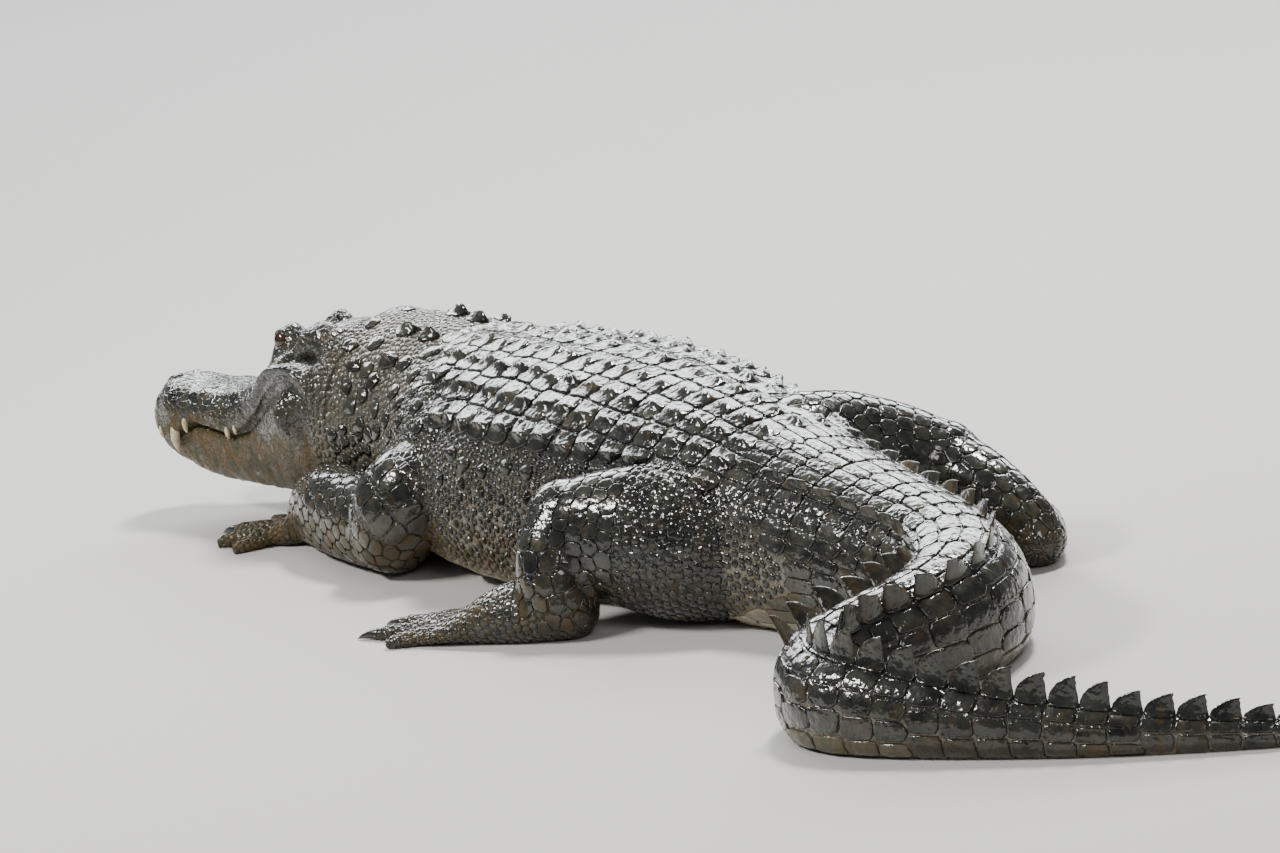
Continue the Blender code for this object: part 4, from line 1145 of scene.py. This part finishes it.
# Place, angle, half length and half breadth of the nape's plates and of the scutes before and beside them.
NAPE_PLATES = (
    (-0.738, 75, 0.0190, 0.0180), (-0.702, 77, 0.0180, 0.0170), (-0.722, 54, 0.0165, 0.0150),
)
NECK_SCUTES = (
    (-0.812, 78, 0.010, 0.010), (-0.808, 58, 0.010, 0.010), (-0.768, 62, 0.0115, 0.0115), (-0.781, 46, 0.0105, 0.0105),
    (-0.752, 44, 0.0105, 0.0105), (-0.783, 33, 0.0085, 0.0085), (-0.766, 23, 0.0095, 0.0095), (-0.745, 31, 0.0090, 0.0095),
    (-0.732, 40, 0.0100, 0.0100), (-0.711, 28, 0.0095, 0.0100), (-0.742, 16, 0.0095, 0.0095), (-0.790, 6, 0.009, 0.009),
    (-0.719, 14, 0.0085, 0.0090), (-0.699, 18, 0.0090, 0.0090), (-0.768, 8, 0.0090, 0.0090), (-0.744, 2, 0.0095, 0.0095),
    (-0.717, 0, 0.0090, 0.0090), (-0.782, -8, 0.0095, 0.0095), (-0.758, -12, 0.0100, 0.0100), (-0.732, -12, 0.0100, 0.0100),
    (-0.690, 56, 0.0110, 0.0105), (-0.675, 40, 0.0105, 0.0105), (-0.671, 26, 0.0090, 0.0095), (-0.664, 66, 0.0120, 0.0115),
    (-0.648, 52, 0.0105, 0.0105), (-0.642, 36, 0.0100, 0.0100), (-0.638, 20, 0.0095, 0.0095), (-0.612, 45, 0.0105, 0.0110),
    (-0.608, 29, 0.0100, 0.0100), (-0.622, 61, 0.0100, 0.0100), (-0.577, 38, 0.0100, 0.0105), (-0.572, 21, 0.0095, 0.0095),
    (-0.541, 30, 0.0095, 0.0100), (-0.604, 12, 0.0085, 0.0090), (-0.538, 15, 0.0085, 0.0090),
)


SCUTE_GROWTH = 1.22
# Scutes low on the neck: front and back, how far apart along it, the angles between, and how far apart up it.
THROAT_SCUTES = (-0.800, -0.715, 0.0225, -22, 10, 0.0200, 0.06)
THROAT_SCUTE = 0.0076


def staggered(front, back, pitch, low, high, breadth, jitter=0.12):
    """Places and angles in rows, each row half a scale aside from the last."""
    places = []
    degrees = []
    for row, place in enumerate(np.arange(front, back, pitch * 0.87)):
        columns = max(1, round(arc(place, low, high) / breadth))
        middles, _half = angles_between(place, low, high, columns)
        shift = (row % 2) * 0.5 * (high - low) / columns
        places.append(place + dice.normal(0, jitter, columns) * pitch)
        degrees.append(middles + shift + dice.normal(0, jitter, columns) * (high - low) / columns)
    return np.concatenate(places), np.concatenate(degrees)


def mirrored(places, degrees):
    return places, 180.0 - degrees


def both_sides(rows):
    table = np.array(rows, dtype=float)
    other = table.copy()
    other[:, 1] = 180.0 - other[:, 1]
    return np.concatenate([table, other]).T


def plan_back():
    count = plan_body("neck_scutes", "nape", *both_sides(NAPE_PLATES))
    places, degrees, reach, breadth = both_sides(NECK_SCUTES)
    strewn = staggered(*THROAT_SCUTES)
    for places_there, degrees_there in (strewn, mirrored(*strewn)):
        count += plan_body("neck_scutes", "scute", places_there, degrees_there, THROAT_SCUTE, THROAT_SCUTE, closest=0.85)
    count += plan_body("neck_scutes", "scute", places, degrees, reach * SCUTE_GROWTH, breadth * SCUTE_GROWTH, closest=0.60)
    rows = round((0.0 - NECK_BACK) / PLATE_ROW)
    for row in range(-1, rows):
        place = NECK_BACK + (row + 0.5) * (0.0 - NECK_BACK) / rows
        edges = np.array(PLATE_EDGES, float) + dice.uniform(-1.8, 1.8, len(PLATE_EDGES))
        middles = (edges[1:] + edges[:-1]) / 2
        halves = np.array([arc(place, low, high) / 2 for low, high in zip(edges, edges[1:])])
        tall = dice.uniform(0.75, 1.15, len(middles)) * np.interp(np.abs(middles - 90), (10, 60), (0.70, 1.05))
        grown = place > np.interp(np.abs(middles - 90), *np.array(PLATES_BEGIN).T)
        places = place + dice.normal(0, 0.0006, len(middles))
        chosen = (places[grown], middles[grown], PLATE_ROW / 2, halves[grown], tall[grown])
        count += plan_body("back_plates", "plate", *chosen, closest=0.70)
    return count


print("plates and scutes", plan_back())

# %% Rings of the tail
TAIL_JOINTS = (0.0, 0.20, 0.37, 0.50, 0.66, 0.90, 1.12, 1.34)
TAIL_ROW_FIRST = 0.0400
TAIL_ROW_LAST = 0.0290
SINGLE_CREST_FROM = 0.60
# The tail's flaps stand in two rows at this angle up its sides, and further back on its middle.
CREST_ANGLE = 57
CREST_FOOT = 0.0085
# Place and height of the flaps.
CREST_HEIGHTS = ((0.0, 0.010), (0.22, 0.017), (0.40, 0.025), (0.58, 0.033), (0.72, 0.0375), (0.90, 0.029),
                 (1.05, 0.020), (1.20, 0.012), (1.34, 0.004))
TILES_BEGIN = ((0, 0.115), (14, 0.100), (30, 0.030), (42, 0.0))
TILE_BREADTHS = ((0.0, 0.0155), (0.25, 0.018), (0.37, 0.025), (0.60, 0.026), (0.75, 0.024), (0.90, 0.018),
                 (1.34, 0.006))


def tail_rows():
    """The place and length of each ring of the tail."""
    rows = []
    for front, back in zip(TAIL_JOINTS, TAIL_JOINTS[1:]):
        middle = (front + back) / 2
        count = max(2, round((back - front) / (TAIL_ROW_FIRST + (TAIL_ROW_LAST - TAIL_ROW_FIRST) * middle / TAIL_TIP)))
        length = (back - front) / count
        rows += [(front + (row + 0.5) * length, length) for row in range(count)]
    return rows


def behind_hips(place, degrees):
    """Where the tail's tiles have begun, which is further back on its sides than on its top."""
    side = np.minimum(np.abs(degrees), np.abs(degrees - 180))
    return place > np.interp(side, *np.array(TILES_BEGIN).T)


def plan_tail():
    """The feet of the flaps, and rows of square tiles between them and round under the tail."""
    count = 0
    for place, length in tail_rows():
        if place > TAIL_TIP - 0.03:
            continue
        breadth = float(np.interp(place, *np.array(TILE_BREADTHS).T))
        angles = [90.0] if place > SINGLE_CREST_FROM else [CREST_ANGLE, 180.0 - CREST_ANGLE]
        foot = min(CREST_FOOT, breadth * 0.45)
        degree = arc(place, angles[0] - 10, angles[0] + 10) / 20
        count += plan_body("tail_tiles", "vane_foot", np.full(len(angles), place), angles, length / 2, foot)
        stops = [-90.0, *angles, 270.0]
        for number, (low, high) in enumerate(zip(stops, stops[1:])):
            low += foot / degree if number > 0 else 0.0
            high -= foot / degree if number < len(stops) - 2 else 0.0
            columns = max(1, round(arc(place, low, high) / breadth))
            middles, half = angles_between(place, low, high, columns)
            middles = middles + dice.normal(0, 0.05, columns) * (high - low) / columns
            middles = middles[behind_hips(place, middles)]
            count += plan_body("tail_tiles", "tile", np.full(len(middles), place), middles, length / 2, half,
                               closest=0.45)
    return count


print("tail tiles", plan_tail())

# %% Small scales of the flanks, belly and neck
FLANK_SPAN = (-36, 30)
FLANK_PITCH = 0.0086
HIP_FRONT = -0.17
HIP_PITCH = 0.0114
# Angle, half length and half breadth of the rows of domes under the back plates, and where they end.
FLANK_DOMES = ((21, 0.0140, 0.0125), (10, 0.0085, 0.0085))
DOMES_END = 0.0
# Smaller domes are strewn lower down: their size, how far apart, and the angles between.
LOW_DOME = 0.0056
LOW_DOME_PITCH = 0.0190
LOW_DOME_SPAN = (-30, 6)
BELLY_PITCH = 0.027
NECK_PITCH = 0.0090
BELLY_BREADTH = 0.022


def plan_flanks():
    count = 0
    rows = round((0.06 - NECK_BACK) / PLATE_ROW)
    for piece, mirror in (("flank_scales_left", False), ("flank_scales_right", True)):
        for angle, reach, breadth in FLANK_DOMES:
            places = NECK_BACK + (np.arange(rows) + 0.5) * PLATE_ROW + dice.normal(0, 0.003, rows)
            degrees = (angle + dice.normal(0, 1.6, rows))[places < DOMES_END]
            places = places[places < DOMES_END]
            if mirror:
                places, degrees = mirrored(places, degrees)
            count += plan_body(piece, "dome", places, degrees, reach, breadth)
        places, degrees = staggered(NECK_BACK + 0.02, HIP_FRONT + 0.03, LOW_DOME_PITCH, *LOW_DOME_SPAN, LOW_DOME_PITCH, 0.20)
        if mirror:
            places, degrees = mirrored(places, degrees)
        count += plan_body(piece, "dome", places, degrees, LOW_DOME, LOW_DOME, tall=0.62)
        places, degrees = staggered(HIP_FRONT, 0.12, HIP_PITCH, -48, 34, HIP_PITCH, 0.06)
        places, degrees = places[~behind_hips(places, degrees)], degrees[~behind_hips(places, degrees)]
        if mirror:
            places, degrees = mirrored(places, degrees)
        count += plan_body(piece, "dot", places, degrees, HIP_PITCH * 0.5, HIP_PITCH * 0.5, closest=0.66)
        places, degrees = staggered(NECK_BACK - 0.005, HIP_FRONT, FLANK_PITCH, *FLANK_SPAN, FLANK_PITCH)
        if mirror:
            places, degrees = mirrored(places, degrees)
        count += plan_body(piece, "bead", places, degrees, FLANK_PITCH * 0.52, FLANK_PITCH * 0.52, closest=0.66)
    return count


def plan_belly():
    count = 0
    for place in np.arange(-0.80, -0.02, BELLY_PITCH):
        columns = round(arc(place, -144, -36) / BELLY_BREADTH)
        middles, half = angles_between(place, -144, -36, columns)
        count += plan_body("belly_scales", "belly", np.full(columns, place), middles, BELLY_PITCH / 2, half)
    return count


def plan_neck():
    places, degrees = staggered(-0.838, -0.470, NECK_PITCH, -36, 216, NECK_PITCH)
    ahead = places < np.interp(np.abs(degrees - 90), *np.array(PLATES_BEGIN).T)
    chosen = (places[ahead], degrees[ahead], NECK_PITCH * 0.52, NECK_PITCH * 0.52)
    return plan_body("neck_scales", "pebble", *chosen, closest=0.70)


print("neck", plan_neck(), "flank", plan_flanks(), "belly", plan_belly())

# %% Scales of the limbs and feet
# Kind, pitch along and breadth round, for each run of rings, and for the part of it near the knee.
LIMB_SCALES = {
    "left_upper_arm": ("slab", 0.021, 0.019), "left_forearm": ("slab", 0.017, 0.016),
    "right_upper_arm": ("slab", 0.023, 0.021), "right_forearm": ("slab", 0.017, 0.016),
    "left_thigh": ("dot", 0.0112, 0.0112, 0.0, 0.60), "left_knee": ("slab", 0.020, 0.018, 0.62, 1.0), "right_thigh": ("slab", 0.020, 0.020),
    "left_shin": ("slab", 0.022, 0.021), "right_shin": ("slab", 0.022, 0.021),
}
FOOT_SCALES = {
    "left_forefoot_palm": ("pad", 0.0095, 0.0095), "right_forefoot_palm": ("pad", 0.0095, 0.0095),
    "left_hind_foot_palm": ("pad", 0.0110, 0.0110), "right_hind_foot_palm": ("pad", 0.0110, 0.0110),
}
DIGIT_SCALE = ("pad", 0.0085, 0.0090)


def limb_strip(number, total):
    low, high = LIMB_STRIP
    return low + (high - low) * number / total, (high - low) / total * 0.9


def plan_limb(piece, rings, number, total, kind, pitch, breadth, start=0.0, stop=1.0):
    """Staggered rows of scales round one run of rings."""
    middle = rings["middle"]
    gone = np.concatenate([[0.0], np.cumsum(np.linalg.norm(np.diff(middle, axis=0), axis=1))])
    girth = 2 * math.pi * float(np.median(np.sqrt((rings["half"] ** 2).mean(axis=1))))
    columns = max(4, round(girth / breadth))
    rows = max(2, round(gone[-1] * (stop - start) / (pitch * 0.9)))
    turn, offset = [], []
    for row in range(rows):
        share = start + (stop - start) * (row + 0.5) / rows
        part = np.interp(share * gone[-1], gone, np.linspace(0, 1, len(gone)))
        turn.append(360.0 * (np.arange(columns) + 0.5 * (row % 2)) / columns + dice.normal(0, 1.5, columns))
        offset.append(np.full(columns, part) + dice.normal(0, 0.04, columns) / rows)
    part, degrees = np.concatenate(offset), np.concatenate(turn)
    centres = ring_surface(rings, part, degrees)
    along = ring_surface(rings, np.minimum(part + 0.02, 1), degrees) - ring_surface(rings, part - 0.02, degrees)
    low, height = limb_strip(number, total)
    uv = np.stack([0.02 + 0.96 * part, low + height * (degrees % 360.0) / 360.0], axis=1)
    return plan(piece, kind, centres, along, pitch / 2, breadth / 2, uv, 1, closest=0.60)


def plan_limbs():
    jobs = [("limb_scales", LIMB_RINGS[name.replace("knee", "thigh")], row) for name, row in LIMB_SCALES.items()]
    jobs += [("foot_scales", rings, FOOT_SCALES.get(name) or DIGIT_SCALE) for name, rings in FOOT_RINGS.items()]
    return sum(plan_limb(piece, rings, number, len(jobs), *row) for number, (piece, rings, row) in enumerate(jobs))


print("limb scales", plan_limbs())
roots = {key: np.concatenate([row[key] for row in ROOTS]) for key in ROOTS[0]}
print("roots", {piece: int((roots["piece"] == piece).sum()) for piece in np.unique(roots["piece"])})

# %% [markdown]
# One scale is a low cone with its top inset into rings. Its corners are then moved to the outline that
# its neighbours leave, laid on the skin, and raised by its kind: domed beads, flat slabs, and plates
# with a keel that leans to the tail. Thousands of copies join into one mesh as arrays.


# %% Grow a scale from every root
def scale_template(sides, rings):
    """A low cone with inset rings on top: for each corner its angle, distance out and whether it's sunk."""
    bm = bmesh.new()
    bmesh.ops.create_cone(bm, cap_ends=True, segments=sides, radius1=1.0, radius2=rings[0], depth=1.0)
    top = max(bm.faces, key=lambda face: face.calc_center_median().z)
    for outer, inner in zip(rings, rings[1:]):
        thickness = (outer - inner) * math.cos(math.pi / sides)
        bmesh.ops.inset_individual(bm, faces=[top], thickness=thickness, depth=0.0)
    bmesh.ops.poke(bm, faces=[top])
    bmesh.ops.recalc_face_normals(bm, faces=bm.faces)
    bm.verts.index_update()
    corners = np.array([vertex.co[:] for vertex in bm.verts])
    angle = np.arctan2(corners[:, 1], corners[:, 0])
    away = np.hypot(corners[:, 0], corners[:, 1])
    side = np.round(angle / (2 * np.pi / sides) - angle[0] / (2 * np.pi / sides)).astype(int) % sides
    faces = [[vertex.index for vertex in face.verts] for face in bm.faces]
    bm.free()
    start = angle[0]
    return {"angles": start + 2 * np.pi * np.arange(sides) / sides, "side": side, "away": away,
            "sunk": corners[:, 2] < 0, "faces": faces, "shoulder": rings[0]}


def outlines(chosen, angles):
    """How far each chosen scale grows in each direction before it meets a neighbour, in its own sizes."""
    tree = root_tree()
    rays = np.stack([np.cos(angles), np.sin(angles)])
    across = np.cross(roots["normal"], roots["along"])
    found = np.zeros((len(chosen), len(angles)))
    for row, k in enumerate(chosen):
        reach, breadth = roots["reach"][k], roots["breadth"][k]
        near = tree.find_range(roots["centre"][k], 2.3 * max(reach, breadth) + 0.006)
        normals = roots["normal"]
        others = [index for _spot, index, gap in near if gap > 0.0005 and normals[index] @ normals[k] > SAME_SIDE]
        offset = roots["centre"][others] - roots["centre"][k]
        x = offset @ roots["along"][k] / reach
        y = offset @ across[k] / breadth
        share = roots["size"][k] / (roots["size"][k] + roots["size"][others])
        facing = x[:, None] * rays[0] + y[:, None] * rays[1]
        limit = ((x * x + y * y) * share)[:, None] / np.maximum(facing, 1e-6)
        limit = np.where(facing > 1e-6, limit, 9.0)
        spread = SCALE_KINDS[roots["kind"][k]][2]
        found[row] = np.minimum(limit.min(axis=0, initial=9.0), spread)
    return found


SINK = 0.0010
SMOOTH_PIECES = ("limb_scales", "foot_scales", "neck_scutes", "belly_scales")


def grow_scales(piece, template):
    """One mesh with a solid for each root of a piece, with its markings and its place on the unwrap."""
    chosen = np.flatnonzero(roots["piece"] == piece)
    kinds = np.array([SCALE_KINDS[kind] for kind in roots["kind"][chosen]])
    tall, flat, _spread, groove, keel, crinkle, _browner = kinds.T
    tall = tall * roots["tall"][chosen]
    keel = keel * roots["tall"][chosen]
    reach, breadth = roots["reach"][chosen], roots["breadth"][chosen]
    outline = outlines(chosen, template["angles"])[:, template["side"]] * template["away"]
    angle = template["angles"][template["side"]]
    u = outline * np.cos(angle)
    v = outline * np.sin(angle)
    along = roots["along"][chosen]
    normal = roots["normal"][chosen]
    across = np.cross(normal, along)
    shrink_u = 1 - np.minimum(groove / reach, 0.5)
    shrink_v = 1 - np.minimum(groove * 0.6 / breadth, 0.5)
    flat_points = (roots["centre"][chosen][:, None] + along[:, None] * (u * (reach * shrink_u)[:, None])[:, :, None]
                   + across[:, None] * (v * (breadth * shrink_v)[:, None])[:, :, None])
    laid, _faces, _gaps = on_skin(flat_points.reshape(-1, 3))
    laid = laid.reshape(flat_points.shape)
    out = np.minimum(template["away"] / template["shoulder"], 1.0)
    dome = flat[:, None] + (1 - flat[:, None]) * (1 - out ** 2)
    ridge = np.exp(-(v / 0.22) ** 2) * np.clip((u + 0.95) / 1.35, 0, 1) ** 0.8 * np.clip((1.02 - u) / 0.32, 0, 1)
    height = tall[:, None] * dome + keel[:, None] * ridge
    height += dice.normal(0, 1, height.shape) * (crinkle * tall)[:, None]
    height = np.where(template["sunk"], -SINK, height)
    points = laid + normal[:, None] * height[:, :, None]
    points[:, :, 2] = np.maximum(points[:, :, 2], 0.0003)
    return scale_mesh(piece, chosen, template, points, u, v, out)


def scale_mesh(piece, chosen, template, points, u, v, out, browner=0.0):
    count, corners = len(chosen), len(template["away"])
    sizes = np.array([len(face) for face in template["faces"]])
    loops = np.concatenate(template["faces"])
    all_loops = (loops[None, :] + corners * np.arange(count)[:, None]).ravel()
    all_sizes = np.tile(sizes, count)
    mesh = bpy.data.meshes.new(piece)
    mesh.vertices.add(count * corners)
    mesh.vertices.foreach_set("co", points.astype(np.float32).ravel())
    mesh.loops.add(len(all_loops))
    mesh.loops.foreach_set("vertex_index", all_loops.astype(np.int32))
    mesh.polygons.add(len(all_sizes))
    mesh.polygons.foreach_set("loop_start", np.concatenate([[0], np.cumsum(all_sizes)[:-1]]).astype(np.int32))
    mesh.update(calc_edges=True)
    mesh.shade_smooth()
    brown, pale = markings(roots["centre"][chosen], roots["limb"][chosen] == 1)
    darker = np.array([SCALE_KINDS[kind][6] for kind in roots["kind"][chosen]])
    pale = pale * (1 + np.minimum(darker, 0))
    # For the tail's flaps, browner also carries painted shade on the last section of the tail.
    varied = dice.normal(0, 0.12, count) + darker + browner
    # Painted shade on each scale: full colour in its middle, a little darker at its rim, darkest at its foot down in
    # the groove.
    lift = np.where(template["sunk"], 0.0, 0.55 + 0.45 * (1 - out))
    write_mix(mesh, np.repeat(np.clip(brown + varied, 0, 1), corners), np.repeat(pale, corners), np.tile(lift, count))
    patch = np.stack([u, v], axis=2) * BAKE_PATCH + roots["uv"][chosen][:, None, :]
    layer = mesh.uv_layers.new(name="OFBake")
    layer.data.foreach_set("uv", patch.reshape(-1, 2)[all_loops].astype(np.float32).ravel())
    thing = bpy.data.objects.new(piece, mesh)
    bpy.context.scene.collection.objects.link(thing)
    thing.data.materials.append(smooth_hide if piece in SMOOTH_PIECES else wet_hide)
    return thing


SMALL = scale_template(10, (0.86, 0.48))
LARGE = scale_template(20, (0.95, 0.87, 0.62, 0.38, 0.17))
MEDIUM = scale_template(16, (0.94, 0.86, 0.48))
TEMPLATES = {
    "back_plates": LARGE, "neck_scutes": LARGE, "tail_tiles": MEDIUM, "belly_scales": SMALL,
    "flank_scales_left": SMALL, "flank_scales_right": SMALL, "neck_scales": SMALL,
    "limb_scales": MEDIUM, "foot_scales": SMALL,
}
coat = {piece: grow_scales(piece, template) for piece, template in TEMPLATES.items()}

# %% [markdown]
# The tail's crest is a row of upright flaps, one on every ring: two rows first, which close up into one
# further back. Each is a thin blade with a round front edge and an upright back edge, drawn as a grid
# rolled into a tube and pinched toward its tip.

# %% Crest of the tail
VANE_ROWS = 9
VANE_COLUMNS = 16
VANE_TIP = 0.84
VANE_HALF_BREADTH = 0.0034
VANE_FLARE = 1.5
VANE_SINK = 0.0025
VANE_LEAN = 0.55
# How brown the flaps are at each place: brown on the tail's bend is their own colour, and the drop to below zero from
# 0.60 on is painted shade on the last section of the tail.
VANE_BROWN_AND_SHADE = ((0.0, 0.10), (0.15, 0.35), (0.45, 0.40), (0.60, 0.10), (0.75, -0.20))


def vane_template():
    """A blade's corners: along and across from -1 to 1, and up from 0 to 1."""
    rise = np.linspace(0, 1, VANE_ROWS + 1) ** 0.85
    front = VANE_TIP - (1 + VANE_TIP) * (1 - rise ** 2.2) ** 0.70
    back = 1.0 - (1.0 - VANE_TIP) * rise ** 0.7
    half = np.maximum((back - front) / 2, 0.07)
    turn = 2 * np.pi * np.arange(VANE_COLUMNS) / VANE_COLUMNS
    thick = 0.14 + 0.86 * (1 - rise) ** 0.8 + VANE_FLARE * np.exp(-rise / 0.16)
    u = ((back + front) / 2)[:, None] + half[:, None] * np.cos(turn)
    v = thick[:, None] * np.sin(turn)
    bm = rolled_grid(VANE_ROWS, VANE_COLUMNS, np.stack([u, v, np.broadcast_to(rise[:, None], u.shape)], axis=2))
    bm.verts.index_update()
    corners = np.array([vertex.co[:] for vertex in bm.verts])
    faces = [[vertex.index for vertex in face.verts] for face in bm.faces]
    bm.free()
    return {"corners": corners, "away": 1 - corners[:, 2], "sunk": corners[:, 2] <= 0, "faces": faces}


def grow_vanes(piece, template):
    chosen = np.flatnonzero(roots["kind"] == "vane_foot")
    places, _aside = nearest_places(roots["centre"][chosen])
    height = np.interp(places, *np.array(CREST_HEIGHTS).T) * dice.uniform(0.90, 1.08, len(chosen))
    breadth = VANE_HALF_BREADTH * np.clip(roots["reach"][chosen] / 0.018, 0.4, 1) * np.clip(height / 0.02, 0.7, 1.1)
    along = roots["along"][chosen]
    upward = unit(roots["normal"][chosen] * VANE_LEAN + np.array([0.0, 0.0, 1.0 - VANE_LEAN]))
    across = unit(np.cross(upward, along))
    u, v, rise = template["corners"].T
    wave = dice.normal(0, 0.035, (len(chosen), len(u)))
    points = roots["centre"][chosen][:, None]
    points = points + along[:, None] * ((u * 1.04 + wave * rise)[:, :, None] * roots["reach"][chosen][:, None, None])
    points = points + across[:, None] * ((v * breadth[:, None])[:, :, None])
    points = points + upward[:, None] * ((rise * (height + VANE_SINK)[:, None] - VANE_SINK)[:, :, None])
    flat = np.broadcast_to(u, (len(chosen), len(u))), np.broadcast_to(v * 0.4, (len(chosen), len(u)))
    return scale_mesh(piece, chosen, template, points, *flat, 1 - rise, np.interp(places, *np.array(VANE_BROWN_AND_SHADE).T))


coat["tail_crest"] = grow_vanes("tail_crest", vane_template())
for piece, thing in coat.items():
    print(piece, "triangles", sum(len(face.vertices) - 2 for face in thing.data.polygons))

# %% [markdown]
# The photograph was taken from a low bank with a long lens, turned a little on its side. The camera
# stands where the vent, the snout and the tail fall on the same points of the picture.


# %% Camera
CAMERA_TURN = 62.0
CAMERA_RISE = 12.5
CAMERA_ROLL = 9.5
CAMERA_DISTANCE = 6.3
FOCAL_PIXELS = 6050.0
PICTURE_WIDTH = 1280
PICTURE_HEIGHT = 853
SENSOR_WIDTH = 36.0
TARGET_HEIGHT = 0.1
TARGET_PIXEL = (800.0, 512.0)


def place_camera():
    turn, rise, roll = (math.radians(value) for value in (CAMERA_TURN, CAMERA_RISE, CAMERA_ROLL))
    back = Vector((math.sin(turn) * math.cos(rise), -math.cos(turn) * math.cos(rise), math.sin(rise)))
    level = Vector((math.cos(turn), math.sin(turn), 0.0))
    upright = back.cross(level)
    right = level * math.cos(roll) - upright * math.sin(roll)
    upward = level * math.sin(roll) + upright * math.cos(roll)
    offset_x = (TARGET_PIXEL[0] - PICTURE_WIDTH / 2) / FOCAL_PIXELS * CAMERA_DISTANCE
    offset_y = (TARGET_PIXEL[1] - PICTURE_HEIGHT / 2) / FOCAL_PIXELS * CAMERA_DISTANCE
    target = Vector((*VENT_PLACE, TARGET_HEIGHT))
    place = target + back * CAMERA_DISTANCE - right * offset_x + upward * offset_y
    data = bpy.data.cameras.new("camera")
    data.sensor_width = SENSOR_WIDTH
    data.lens = FOCAL_PIXELS / PICTURE_WIDTH * SENSOR_WIDTH
    data.clip_end = 60.0
    camera = bpy.data.objects.new("camera", data)
    bpy.context.scene.collection.objects.link(camera)
    camera.matrix_world = Matrix.Translation(place) @ Matrix((right, upward, back)).transposed().to_4x4()
    bpy.context.scene.camera = camera
    return camera


print("camera at", tuple(round(number, 2) for number in place_camera().matrix_world.translation))

# %% [markdown]
# Wet hide shows its form by what it mirrors. A wide soft light above and behind the animal stands for
# the sky and draws pale sheens on every scale, and weaker ones from the sides keep the near flank dark
# but readable.

# %% Floor and lights
FLOOR_SIZE = 60.0
FLOOR_COLOUR = (0.45, 0.445, 0.43, 1.0)
# Name, place, size, power and colour of each soft light; all of them face the animal.
LIGHTS = (
    ("sky_behind", (-5.2, 3.1, 3.6), (9.0, 3.0), 820.0, (0.95, 0.98, 1.0)),
    ("sky_above", (-0.6, 1.6, 4.0), (0.8, 0.8), 300.0, (1.0, 0.98, 0.94)),
    ("sky_left", (-1.2, -3.2, 3.4), (1.6, 0.6), 240.0, (1.0, 0.99, 0.95)),
    ("near_fill", (3.6, -1.0, 2.4), (1.6, 1.6), 60.0, (1.0, 0.96, 0.90)),
)


def make_floor():
    bm = bmesh.new()
    bmesh.ops.create_grid(bm, x_segments=2, y_segments=2, size=FLOOR_SIZE / 2)
    floor = as_object("studio_floor", bm, smooth=False)
    material = bpy.data.materials.new("pale_floor")
    material.use_nodes = True
    shader = material.node_tree.nodes["Principled BSDF"]
    shader.inputs["Base Color"].default_value = FLOOR_COLOUR
    shader.inputs["Roughness"].default_value = 0.9
    floor.data.materials.append(material)


def make_lights():
    for name, place, size, power, colour in LIGHTS:
        data = bpy.data.lights.new(name, "AREA")
        data.shape = "RECTANGLE"
        data.size, data.size_y = size
        data.energy = power
        data.color = colour
        light = bpy.data.objects.new(name, data)
        bpy.context.scene.collection.objects.link(light)
        light.location = place
        light.rotation_euler = (Vector((0.0, 0.0, 0.1)) - Vector(place)).to_track_quat("-Z", "Y").to_euler()
    world = bpy.data.worlds.new("studio")
    world.use_nodes = True
    world.node_tree.nodes["Background"].inputs["Color"].default_value = (0.88, 0.90, 0.93, 1.0)
    world.node_tree.nodes["Background"].inputs["Strength"].default_value = 0.22
    bpy.context.scene.world = world


make_floor()
make_lights()

# %% Tie the pieces to the frame
EYE_NODES = ("eye_left", "eye_right")
FLESH_NODES = [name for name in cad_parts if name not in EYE_NODES]


def stand_on_floor(piece):
    """Lift what lies below the floor up to it, so the model rests on small flats at one level."""
    points = points_of(piece.data)
    lowest = round(float(points[:, 2].min()), 5)
    points[:, 2] = np.maximum(points[:, 2], 0.0)
    piece.data.vertices.foreach_set("co", points.astype(np.float32).ravel())
    piece.data.update()
    return lowest


def hand_over(piece, slot, *nodes):
    """Say which body a piece rides on and which solids it stands for; the slot, which finish it takes, is not used."""
    print(piece.name, "lowest point was", stand_on_floor(piece))
    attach(piece, "root")
    if nodes:
        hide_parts(*nodes)


hand_over(skin, "hide", *FLESH_NODES)
hand_over(eyes["eye_left"], "eye", "eye_left")
hand_over(eyes["eye_right"], "eye", "eye_right")
hand_over(teeth, "hide")
hand_over(claws, "foot_hide")
for name, thing in coat.items():
    hand_over(thing, "foot_hide" if name == "foot_scales" else "hide")
